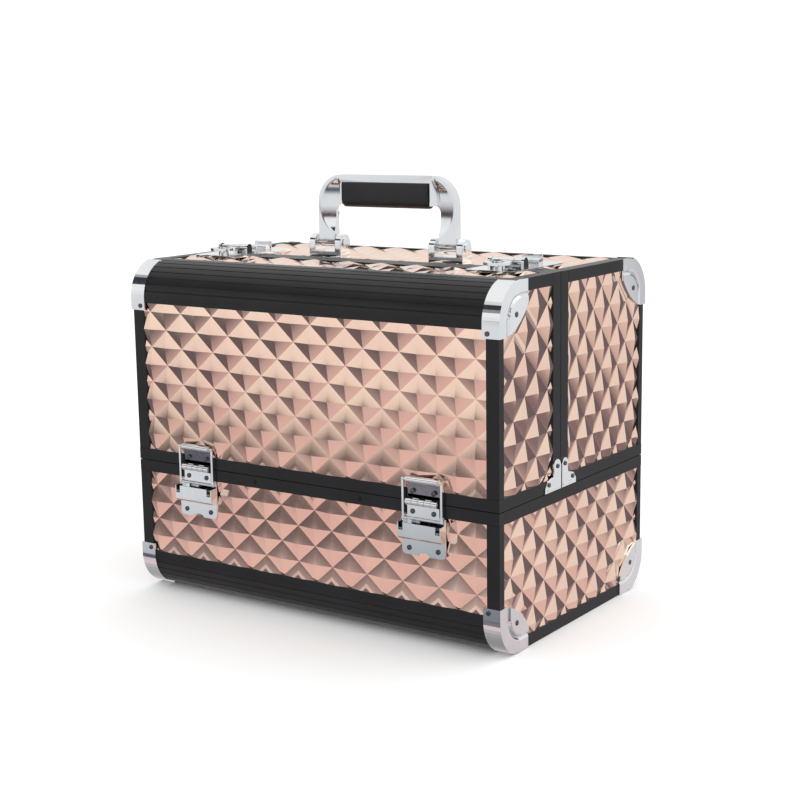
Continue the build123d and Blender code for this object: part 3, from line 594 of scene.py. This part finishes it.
@dataclass
class Covering:
    """All the embossed sheets of the case."""

    shell: Shell = field(default_factory=Shell.read)
    post_face: float = 11.0
    post_side: float = 7.0
    side_rail: float = 9.5
    cap_radius: float = 44.0
    wide: Lattice = Lattice(33.4, 29.4, 6.9, 239.0)
    top: Lattice = Lattice(33.4, 29.4, 6.9, -40.0)
    box_front: Lattice = Lattice(33.4, 29.4, 6.9, 92.0)
    box_side: Lattice = Lattice(33.4, 29.4, 3.3, 60.0)

    @property
    def span(self) -> tuple[float, float]:
        """Reach along X of a sheet between two corner posts."""
        reach = self.shell.half_width - self.post_face
        return (-reach, reach)

    def wall(self, side: Side) -> Face:
        """Front or rear face, with u to the right as seen from outside and v up."""
        y = -side.value * self.shell.board_y
        return Face((0.0, y, 0.0), (side.value, 0.0, 0.0), (0.0, 0.0, 1.0))

    def flank(self, right: int) -> Face:
        """Left or right face, with v up; u is plus or minus y."""
        return Face((right * self.shell.board_x, 0.0, 0.0), (0.0, right, 0.0), (0.0, 0.0, 1.0))

    def lid_side_lattice(self, side: Side, right: int) -> Lattice:
        """Diamonds of a lid's side sheet: narrower on the rear lid."""
        if side is Side.FRONT:
            return Lattice(33.4, 32.4, right * -75.8, 225.0)
        return Lattice(27.4, 33.2, right * 3.3, 212.2)

    def lid_sheets(self, side: Side) -> list[EmbossedSheet]:
        """Lays out the outer, top and two side sheets of one lid.

        Args:
            side: which lid.

        Returns:
            The sheets, not yet built.
        """
        shell = self.shell
        outer_v = (shell.lid_rim_top, shell.height - shell.edge_reach)
        outer_y = -side.value * (shell.half_depth - shell.edge_reach)
        inner_y = shell.seam_edge(side)
        roof = Face((0.0, 0.0, shell.board_top), (1.0, 0.0, 0.0), (0.0, 1.0, 0.0))
        pieces = [
            EmbossedSheet(f"{side.tag}_lid_outer_sheet", self.wall(side), self.wide, self.span,
                          outer_v, side.body),
            EmbossedSheet(f"{side.tag}_lid_top_sheet", roof, self.top, self.span,
                          tuple(sorted((outer_y, inner_y))), side.body)]
        post_y = -side.value * (shell.half_depth - self.post_side)
        side_v = (shell.lid_rim_top, shell.height - self.side_rail)
        for right in (-1, 1):
            corner = (right * -side.value * shell.half_depth, shell.height, self.cap_radius)
            side_u = tuple(sorted((right * post_y, right * inner_y)))
            pieces.append(EmbossedSheet(
                f"{side.tag}_lid_side_sheet_{HAND[right]}", self.flank(right),
                self.lid_side_lattice(side, right), side_u, side_v, side.body, [corner]))
        return pieces

    def box_sheets(self) -> list[EmbossedSheet]:
        """Lays out the front, rear and two side sheets of the box.

        Returns:
            The sheets, not yet built.
        """
        shell = self.shell
        pieces = [EmbossedSheet(f"box_{side.tag}_sheet", self.wall(side), self.box_front, self.span,
                                (shell.edge_reach, shell.box_rim_low), "box") for side in Side]
        reach = shell.half_depth - self.post_side
        corners = [(end * shell.half_depth, 0.0, self.cap_radius) for end in (-1, 1)]
        for right in (-1, 1):
            pieces.append(EmbossedSheet(
                f"box_side_sheet_{HAND[right]}", self.flank(right), self.box_side, (-reach, reach),
                (self.side_rail, shell.box_rim_low), "box", corners))
        return pieces

    def build(self) -> None:
        """Builds every sheet and dresses the boards behind them."""
        lids = [sheet for side in Side for sheet in self.lid_sheets(side)]
        for sheet in lids + self.box_sheets():
            piece = sheet.build()
            LOG.info("%s: %d faces", piece.name, len(piece.data.polygons))
        for name, node in frame["nodes"].items():
            if name.endswith(("_panel", "_panels")):
                node.data.materials.clear()
                node.data.materials.append(ROSE.material())


# ------------------------------------------------------------------ rails, hardware, inside


def smooth_step(value: np.ndarray, low: float, high: float) -> np.ndarray:
    """Rises from 0 at low to 1 at high as 3 t squared - 2 t cubed."""
    t = np.clip((value - low) / (high - low), 0.0, 1.0)
    return t * t * (3 - 2 * t)


@dataclass(frozen=True)
class CapStamping:
    """Stamping of a corner cap's side plate: a rim, a groove and a raised middle."""

    face_x: float = 178.7
    centre_y: float = 85.0
    centre_up: float = 110.0
    corner: float = 30.0
    middle_z: float = 140.0
    groove_at: tuple[float, float, float] = (9.6, 11.2, 13.0)
    depth: float = 1.05
    rise: float = 0.5
    step: float = 0.7
    first: float = 0.37
    margin: float = 10.0

    def shape(self, mesh: bpy.types.Mesh) -> None:
        """Stamps every side plate in the mesh.

        With d the distance inward from the cap's outline, the face lies at 0 on the rim,
        sinks by depth at the groove and comes up to rise beyond it, along smooth steps.

        Args:
            mesh: the caps' mesh, in metres.
        """
        near, far = self.centre_y - self.margin, self.centre_y + self.corner
        ys = np.arange(near, far, self.step) + self.first
        cut_lines(mesh, 1, np.concatenate([ys, -ys]))
        lowest = self.middle_z + self.centre_up - self.margin
        up = np.arange(lowest, 2 * self.middle_z, self.step) + self.first
        cut_lines(mesh, 2, np.concatenate([up, 2 * self.middle_z - up]))
        points = points_of(mesh)
        out_y = np.abs(points[:, 1]) - self.centre_y
        out_z = np.abs(points[:, 2] - self.middle_z) - self.centre_up
        in_corner = (out_y > 0) & (out_z > 0)
        inward = self.corner - np.where(in_corner, np.hypot(out_y, out_z), np.maximum(out_y, out_z))
        low, mid, high = self.groove_at
        sink = self.depth * smooth_step(inward, low, mid)
        profile = (self.depth + self.rise) * smooth_step(inward, mid, high) - sink
        on_face = np.abs(points[:, 0]) > self.face_x - TOUCH
        points[on_face, 0] = (np.sign(points[:, 0]) * (self.face_x + profile))[on_face]
        set_points(mesh, points)


@dataclass(frozen=True)
class LegDish:
    """Dish pressed into the front and the back of each handle leg."""

    centre_x: float = 43.5
    centre_z: float = 321.5
    radius: float = 23.2
    front_slope: float = 0.24
    back_slope: float = 0.10
    start_x: tuple[float, float] = (45.5, 48.5)
    step: float = 1.0

    def shape(self, mesh: bpy.types.Mesh) -> None:
        """Sinks both faces of the bail inside a circle round (centre_x, centre_z).

        The depth grows inwards from the circle as slope * (x of the circle - x) at each
        height, and is faded in along x beside the grip.

        Args:
            mesh: the bail's mesh, in metres.
        """
        lines = np.arange(self.start_x[0], self.centre_x + self.radius, self.step)
        cut_lines(mesh, 0, np.concatenate([lines, -lines]))
        low, high = self.centre_z - self.radius, self.centre_z + self.radius
        cut_lines(mesh, 2, np.arange(low, high, self.step))
        points = points_of(mesh)
        out = np.abs(points[:, 0])
        chord = np.sqrt(np.clip(self.radius ** 2 - (points[:, 2] - self.centre_z) ** 2, 0, None))
        sink = np.clip(self.centre_x + chord - out, 0, None) * smooth_step(out, *self.start_x)
        sink *= chord > 0
        front = points[:, 1] < points[:, 1].min() + TOUCH
        back = points[:, 1] > points[:, 1].max() - TOUCH
        slope = np.where(front, self.front_slope, 0) - np.where(back, self.back_slope, 0)
        points[:, 1] += sink * slope
        set_points(mesh, points)


@dataclass(frozen=True)
class LeafTilt:
    """Upper hinge leaf whose face slopes back towards the knuckle."""

    face: float = 116.3
    slope: float = 0.10
    low_z: float = 114.8
    top_z: float = 131.0
    near: float = 0.1

    def shape(self, mesh: bpy.types.Mesh) -> None:
        """Moves the leaf's front face back by slope * (top - z).

        Args:
            mesh: the leaf's mesh, in metres.
        """
        points = points_of(mesh)
        front = (np.abs(np.abs(points[:, 1]) - self.face) < self.near) & (points[:, 2] > self.low_z)
        back = self.slope * np.clip(self.top_z - points[:, 2], 0, None)
        points[:, 1] -= np.where(front, np.sign(points[:, 1]) * back, 0)
        set_points(mesh, points)


@dataclass(frozen=True)
class HingeFoot:
    """Foot plate of each hinge: rounded lower corners and a shallower notch."""

    hinge_x: float = 112.0
    half: float = 19.5
    radius: float = 3.4
    segments: int = 5
    notch: float = 5.2
    notch_scale: float = 0.5
    near: float = 0.3
    low: float = 0.1
    skew: float = 0.01

    def shape(self, mesh: bpy.types.Mesh) -> None:
        """Rounds the short edges that run along Y at the foot's lowest corners.

        Inside the notch, the height above the foot's edge is scaled by notch_scale.

        Args:
            mesh: the foot's mesh, in metres.
        """
        lowest = points_of(mesh)[:, 2].min()
        shape = bmesh.new()
        shape.from_mesh(mesh)
        corners = [edge for edge in shape.edges if self.is_corner(edge, lowest)]
        bmesh.ops.bevel(shape, geom=corners, offset=self.radius * MM, segments=self.segments,
                        profile=0.5, affect="EDGES", clamp_overlap=True)  # 0.5 is a round profile
        shape.to_mesh(mesh)
        shape.free()
        points = points_of(mesh)
        low_z = points[:, 2].min()
        local = np.abs(np.abs(points[:, 0]) - self.hinge_x)
        in_notch = (local < self.notch) & (points[:, 2] < low_z + self.notch)
        points[in_notch, 2] = low_z + (points[in_notch, 2] - low_z) * self.notch_scale
        set_points(mesh, points)

    def is_corner(self, edge: bmesh.types.BMEdge, lowest: float) -> bool:
        """Whether an edge is one of the lower outer corners.

        Args:
            edge: the edge, in metres.
            lowest: height of the foot's lowest point, in millimetres.

        Returns:
            True for an edge that runs along Y at such a corner.
        """
        first, second = (vertex.co / MM for vertex in edge.verts)
        along_y = abs(first.x - second.x) < self.skew and abs(first.z - second.z) < self.skew
        outermost = abs(abs(abs(first.x) - self.hinge_x) - self.half) < self.near
        return along_y and outermost and first.z < lowest + self.low


@dataclass(frozen=True)
class LinkStrips:
    """Side strips of the hinge link frames, slimmed on their inner edge."""

    hinge_x: float = 112.0
    inner: float = 15.0
    slim: float = 1.4

    def shape(self, mesh: bpy.types.Mesh) -> None:
        """Moves the strips' inner edges outwards.

        Args:
            mesh: the link frames' mesh, in metres.
        """
        points = points_of(mesh)
        centre = np.sign(points[:, 0]) * self.hinge_x
        local = points[:, 0] - centre
        on_inner = np.abs(np.abs(local) - self.inner) < TOUCH
        points[:, 0] += np.where(on_inner, np.sign(local) * self.slim, 0)
        set_points(mesh, points)


@dataclass(frozen=True)
class KeyWay:
    """Key opening sunk shallow into the top of each lock cylinder; its pit is painted black as
    painted shade of a deep slot.
    """

    top_z: float = 288.3
    rim: float = 0.9
    depth: float = 0.6
    level: float = 0.99

    def shape(self, mesh: bpy.types.Mesh) -> None:
        """Insets the cylinder's top face and sinks its middle.

        Args:
            mesh: the latch base's mesh, in metres.
        """
        shape = bmesh.new()
        shape.from_mesh(mesh)
        tops = [face for face in shape.faces
                if face.normal.z > self.level and face.calc_center_median().z > self.top_z * MM]
        bmesh.ops.inset_individual(shape, faces=tops, thickness=self.rim * MM,
                                   depth=-self.depth * MM)
        shape.to_mesh(mesh)
        shape.free()


@dataclass(frozen=True)
class Handle:
    """Grip of the handle: a softer shape than the block behind it."""

    half: float = 42.9
    front: float = 6.2
    top: float = 341.9
    bottom: float = 321.2
    middle_y: float = 3.2
    lower_corner: float = 5.95
    upper_corner: float = 1.2
    rings: int = 9
    ring_reach: float = 0.9
    swell: float = 0.025
    end_draw: float = 0.10
    end_start: float = 0.965
    end_places: tuple[float, ...] = (0.975, 0.99, 0.998, 1.0)
    corner_points: int = 7
    sharp_deg: float = 40.0

    def outline(self) -> np.ndarray:
        """Section of the grip: four arcs of centre + radius * (cos, sin), one at each corner.

        Returns:
            Points (y, z) in order, in millimetres.
        """
        low, up, reach = self.lower_corner, self.upper_corner, self.front
        centres = np.array([(reach - up, self.top - up), (up - reach, self.top - up),
                            (low - reach, self.bottom + low), (reach - low, self.bottom + low)])
        radii = np.array([up, up, low, low])[:, None, None]
        quarter = np.linspace(0, np.pi / 2, self.corner_points)
        angles = np.arange(4)[:, None] * np.pi / 2 + quarter
        arcs = centres[:, None, :] + radii * np.stack([np.cos(angles), np.sin(angles)], axis=-1)
        return arcs.reshape(-1, 2)

    def build(self) -> set[str]:
        """Lofts the section along X, for t from -1 to 1 over the grip's length.

        The depth is scaled by 1 + swell * cos(pi t / 2), and near the ends both depth and
        height are scaled by 1 - end_draw * e squared, where e rises from 0 to 1.

        Returns:
            The CAD nodes that are done.
        """
        section = self.outline()
        middle_z = (self.top + self.bottom) / 2
        ends = np.array(self.end_places)
        between = np.linspace(-self.ring_reach, self.ring_reach, self.rings)
        t = np.concatenate([-ends[::-1], between, ends])[:, None]
        past = np.clip((np.abs(t) - self.end_start) / (1 - self.end_start), 0, 1)
        scale = 1 - self.end_draw * past ** 2
        swell = 1 + self.swell * np.cos(np.pi * t / 2)
        count, size = len(t), len(section)
        x = np.broadcast_to(self.half * t, (count, size))
        y = self.middle_y + section[:, 0] * scale * swell
        z = middle_z + (section[:, 1] - middle_z) * scale
        i, j = np.meshgrid(np.arange(count - 1), np.arange(size), indexing="ij")
        here, after = i * size + j, i * size + (j + 1) % size
        sides = np.stack([here, after, after + size, here + size], axis=-1).reshape(-1, 4).tolist()
        caps = [list(range(size))[::-1], list(range((count - 1) * size, count * size))]
        piece = mesh_piece("handle_grip_soft", np.stack([x, y, z], axis=-1).reshape(-1, 3),
                           sides + caps, self.sharp_deg)
        make_outward(piece.data)
        dress(piece, GRIP, "handle")
        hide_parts("handle_grip")
        return {"handle_grip"}


def make_outward(mesh: bpy.types.Mesh) -> None:
    """Turns the faces of a closed mesh outwards."""
    shape = bmesh.new()
    shape.from_mesh(mesh)
    bmesh.ops.recalc_face_normals(shape, faces=shape.faces)
    shape.to_mesh(mesh)
    shape.free()


@dataclass
class Hardware:
    """CAD nodes that keep their shape and get eased edges, in millimetres."""

    rail_ease: float = 0.35
    chrome_ease: float = 0.22
    tray_ease: float = 0.5
    widths: dict[str, float] = field(default_factory=lambda: {
        "handle_frame": 1.3, "handle_brackets": 0.5, "box_edge_rails": 0.12,
        "front_lid_edge_rail": 0.12, "rear_lid_edge_rail": 0.12})
    rail_rivet_x: float = 90.0
    rail_rivet_y: float = 114.0
    # Heights of the key opening's faces that are painted black as painted shade.
    key_hole_z: tuple[float, float] = (287.6, 288.2)

    def finish_of(self, node: str) -> tuple[Finish, str, float] | None:
        """Finish, material slot and edge width of a node, or None for the boards.

        Args:
            node: the CAD node's name.

        Returns:
            The three, with a width of 0 where the node keeps its own mesh.
        """
        if node.endswith(("_panel", "_panels")):
            return None
        if "lining" in node:
            return (NAP, "lining", 0.0)
        if "tray" in node and "stud" not in node:
            return (TRAY, "tray", self.tray_ease)
        if "arm" in node or "stud" in node:
            return (PLATED, "arm_steel", self.chrome_ease)
        # Rivets get the finish whose colour is painted darker: a painted dark reflection.
        if "rivets" in node:
            return (RIVET_PAINTED_DARK, "chrome", self.chrome_ease)
        if "rail" in node:
            return (ANODISED, "black_rail", self.rail_ease)
        return (CHROME, "chrome", self.chrome_ease)

    def reshape_of(self, node: str) -> Callable[[bpy.types.Mesh], None] | None:
        """Stamped detail of a node.

        Args:
            node: the CAD node's name.

        Returns:
            The method that adds it, or None.
        """
        if node.endswith("corner_caps"):
            return CapStamping().shape
        shapes = {"handle_frame": LegDish(), "hinge_lower_leaves": HingeFoot(),
                  "front_hinge_upper_leaves": LeafTilt(), "rear_hinge_upper_leaves": LeafTilt(),
                  "front_hinge_links": LinkStrips(), "rear_hinge_links": LinkStrips(),
                  "latch_bases": KeyWay()}
        return shapes[node].shape if node in shapes else None

    def build(self, done: set[str]) -> None:
        """Replaces each remaining node by an eased copy, or dresses it where it is soft.

        Args:
            done: nodes that other classes stand for.
        """
        for name, node in frame["nodes"].items():
            chosen = self.finish_of(name)
            if name in done or chosen is None:
                continue
            finish, slot, width = chosen
            if not width:
                node.data.materials.clear()
                node.data.materials.append(finish.material())
                continue
            width = self.widths.get(name, width)
            piece = eased_copy(name, width, finish, self.reshape_of(name))
            centres = face_centres(piece.data)
            x, y, z = np.abs(centres[:, 0]), np.abs(centres[:, 1]), centres[:, 2]
            if name == "box_rivets":
                paint(piece, BLACKED, (x < self.rail_rivet_x) & (y > self.rail_rivet_y))
            # The key opening's pit gets black vinyl: painted shade of a deep key slot.
            if name == "latch_bases":
                low, high = self.key_hole_z
                paint(piece, GRIP, (z > low) & (z < high))
            LOG.info("%s: %d faces", piece.name, len(piece.data.polygons))


# ------------------------------------------------------------------ studio


@dataclass(frozen=True)
class Room:
    """White room whose mirrored picture has soft darker bands.

    What the camera and the matt surfaces see is even and white. Bright metal mirrors a room
    by direction: bands by height, one set in front and one behind, a slanting shelf in front
    with a gap in it, a dark patch to the rear and a dark wall far to the left. Bands are
    (degrees above the horizon, colour).
    """

    ambient: float = 1.28
    front: tuple = (
        (-75, "#808084"), (-45, "#B4B2B4"), (-34, "#E8D4D6"), (-28, "#E0CCD0"), (-25.8, "#CCC0C4"),
        (-23.6, "#77727A"), (-20, "#5A5A64"), (-17, "#9FA3AA"), (-14, "#E4E7EA"), (13, "#FFFFFF"),
        (21, "#FFFFFF"), (25, "#3A3C42"), (37, "#34363C"), (42, "#FFFFFF"), (75, "#FFFFFF"))
    back: tuple = (
        (-75, "#808084"), (-45, "#B4B2B4"), (-28, "#E6D8D8"), (-25.5, "#CFC2C4"),
        (-23.7, "#837A84"), (-21.3, "#6A6370"), (-19.7, "#DED2D2"), (-12, "#EEF0F2"),
        (20, "#F4F4F4"), (75, "#FFFFFF"))
    back_from: tuple[float, float] = (-0.3, 0.1)
    shelf: tuple = (
        (-9.0, "#FFFFFF"), (-5.2, "#DDD6DA"), (-3.8, "#B8B0B6"), (-2.4, "#8A838B"),
        (-1.1, "#574D55"), (0.4, "#54484F"), (1.4, "#8E868A"), (2.4, "#F2ECE8"), (3.6, "#FFFFFF"))
    shelf_tilt: float = 0.133
    shelf_level_x: float = 0.82
    shelf_half: float = 0.2
    gap_x: float = -0.62
    gap_half: tuple[float, float] = (0.08, 0.13)
    wall_x: tuple[float, float] = (-0.915, -0.88)
    wall_colour: str = "#26282E"
    patch_way: tuple[float, float, float] = (0.139, 0.990, -0.026)
    patch_deg: tuple[float, float] = (21.5, 13.5)
    patch_colour: str = "#6E6A74"

    def bands(self, tree: bpy.types.NodeTree, height: bpy.types.NodeSocket, half: float,
              stops: tuple) -> bpy.types.NodeSocket:
        """Colours by height.

        Args:
            tree: the world's node tree.
            height: sine of the elevation.
            half: the ramp runs from minus this sine to plus this sine.
            stops: degrees and colours.

        Returns:
            The colour socket.
        """
        level = add_node(tree, "ShaderNodeMapRange", inputs={
            "Value": height, "From Min": -half, "From Max": half})
        ramp = add_node(tree, "ShaderNodeValToRGB", inputs={"Fac": level.outputs["Result"]})
        set_ramp(ramp, [(0.5 + sin(radians(e)) / (2 * half), colour) for e, colour in stops])
        return ramp.outputs["Color"]

    def rise(self, tree: bpy.types.NodeTree, value: bpy.types.NodeSocket,
             ends: tuple[float, float]) -> bpy.types.NodeSocket:
        """Smooth rise of a value from 0 at the first end to 1 at the second."""
        step = add_node(tree, "ShaderNodeMapRange", {"interpolation_type": "SMOOTHSTEP"}, {
            "Value": value, "From Min": ends[0], "From Max": ends[1]})
        return step.outputs["Result"]

    def mix(self, tree: bpy.types.NodeTree, share: bpy.types.NodeSocket, first: object,
            second: object, blend: str = "MIX") -> bpy.types.NodeSocket:
        """Mixes two colours or colour sockets by a share."""
        node = add_node(tree, "ShaderNodeMix", {"data_type": "RGBA", "blend_type": blend}, {
            0: share, 6: first, 7: second})
        return node.outputs[2]

    def front_colour(self, tree: bpy.types.NodeTree, parts: bpy.types.Node) -> bpy.types.NodeSocket:
        """Front bands with the slanting shelf over them, open at the gap.

        Args:
            tree: the world's node tree.
            parts: the node that splits the direction.

        Returns:
            The colour socket.
        """
        x, z = parts.outputs["X"], parts.outputs["Z"]
        leaning = add_node(tree, "ShaderNodeMath", {"operation": "MULTIPLY_ADD"}, {
            0: x, 1: -self.shelf_tilt, 2: z})
        level = add_node(tree, "ShaderNodeMath", {"operation": "SUBTRACT"}, {
            0: leaning.outputs[0], 1: self.shelf_tilt * self.shelf_level_x})
        shelf = self.bands(tree, level.outputs[0], self.shelf_half, self.shelf)
        off = add_node(tree, "ShaderNodeMath", {"operation": "SUBTRACT"}, {0: x, 1: self.gap_x})
        far = add_node(tree, "ShaderNodeMath", {"operation": "ABSOLUTE"}, {0: off.outputs[0]})
        closed = self.rise(tree, far.outputs[0], self.gap_half)
        return self.mix(tree, closed, self.bands(tree, z, 1.0, self.front), shelf, "MULTIPLY")

    def build(self) -> None:
        """Makes the world."""
        world = bpy.data.worlds.new("studio")
        bpy.context.scene.world = world
        world.use_nodes = True
        tree = world.node_tree
        tree.nodes.clear()
        direction = add_node(tree, "ShaderNodeTexCoord").outputs["Generated"]
        parts = add_node(tree, "ShaderNodeSeparateXYZ", inputs={"Vector": direction})
        back = self.bands(tree, parts.outputs["Z"], 1.0, self.back)
        behind = self.rise(tree, parts.outputs["Y"], self.back_from)
        mirrored = self.mix(tree, behind, self.front_colour(tree, parts), back)
        near = add_node(tree, "ShaderNodeVectorMath", {"operation": "DOT_PRODUCT"}, {
            0: direction, 1: self.patch_way})
        outer, inner = (cos(radians(e)) for e in self.patch_deg)
        patch = self.rise(tree, near.outputs["Value"], (outer, inner))
        mirrored = self.mix(tree, patch, mirrored, linear(self.patch_colour))
        beside = self.rise(tree, parts.outputs["X"], self.wall_x)
        mirrored = self.mix(tree, beside, linear(self.wall_colour), mirrored)
        glossy = add_node(tree, "ShaderNodeLightPath").outputs["Is Glossy Ray"]
        shown = self.mix(tree, glossy, linear("#FFFFFF"), mirrored)
        power = add_node(tree, "ShaderNodeMapRange", inputs={
            "Value": glossy, "To Min": self.ambient, "To Max": 1.0})
        light = add_node(tree, "ShaderNodeBackground", inputs={
            "Color": shown, "Strength": power.outputs["Result"]})
        add_node(tree, "ShaderNodeOutputWorld", inputs={"Surface": light.outputs["Background"]})


@dataclass(frozen=True)
class Studio:
    """Floor, light and camera. Camera places are in millimetres, the rest in metres."""

    eye: tuple[float, float, float] = (753.65, -1067.24, 406.14)
    azimuth: float = 34.811
    elevation: float = 10.631
    roll: float = -0.868
    lens: float = 71.34
    sensor: float = 36.0
    clip: tuple[float, float] = (0.01, 50.0)
    floor_half: float = 9.0
    floor_drop: float = 0.0002
    floor_colour: str = "#F7F7F7"
    box_place: tuple[float, float, float] = (0.8, 0.7, 1.6)
    box_aim: tuple[float, float, float] = (0.0, 0.0, 0.1)
    box_size: float = 1.3
    box_power: float = 4.0

    def camera(self) -> None:
        """Camera at its place, looking along azimuth and elevation, with a small roll."""
        a, e, r = radians(self.azimuth), radians(self.elevation), radians(self.roll)
        forward = Vector((-sin(a) * cos(e), cos(a) * cos(e), -sin(e)))
        right = forward.cross(Vector((0, 0, 1))).normalized()
        up = right.cross(forward)
        level_right = right * cos(r) + up * sin(r)
        level_up = up * cos(r) - right * sin(r)
        turn = Matrix((level_right, level_up, -forward)).transposed().to_4x4()
        data = bpy.data.cameras.new("camera")
        data.lens, data.sensor_width = self.lens, self.sensor
        data.clip_start, data.clip_end = self.clip
        item = bpy.data.objects.new("camera", data)
        item.matrix_world = Matrix.Translation(Vector(self.eye) * MM) @ turn
        bpy.context.scene.collection.objects.link(item)
        bpy.context.scene.camera = item

    def soft_box(self) -> None:
        """One square area light above the rear right, with its power in watts."""
        data = bpy.data.lights.new("rear_right_box", "AREA")
        data.shape = "SQUARE"
        data.size = self.box_size
        data.energy = self.box_power
        item = bpy.data.objects.new("rear_right_box", data)
        way = (Vector(self.box_aim) - Vector(self.box_place)).to_track_quat("-Z", "Y")
        item.matrix_world = Matrix.Translation(self.box_place) @ way.to_matrix().to_4x4()
        bpy.context.scene.collection.objects.link(item)

    def floor(self) -> None:
        """Matt pale floor a hair below the case, which the bright parts don't mirror."""
        reach, z = self.floor_half, -self.floor_drop
        mesh = bpy.data.meshes.new("floor")
        mesh.from_pydata([(-reach, -reach, z), (reach, -reach, z), (reach, reach, z),
                          (-reach, reach, z)], [], [(0, 1, 2, 3)])
        matt = bpy.data.materials.new("floor")
        matt.use_nodes = True
        shader = matt.node_tree.nodes["Principled BSDF"]
        shader.inputs["Base Color"].default_value = linear(self.floor_colour)
        shader.inputs["Roughness"].default_value = 1.0
        shader.inputs["Specular IOR Level"].default_value = 0.0
        mesh.materials.append(matt)
        item = bpy.data.objects.new("floor", mesh)
        item.visible_glossy = False
        bpy.context.scene.collection.objects.link(item)

    def build(self) -> None:
        """Sets up the whole studio."""
        bpy.context.scene.view_settings.view_transform = "Standard"
        self.camera()
        Room().build()
        self.floor()
        self.soft_box()


def main() -> None:
    """Builds every piece in order."""
    logging.basicConfig(level=logging.INFO, format="%(name)s %(message)s")
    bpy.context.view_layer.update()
    Studio().build()
    Covering().build()
    Hardware().build(Handle().build())


if __name__ == "__main__":
    main()
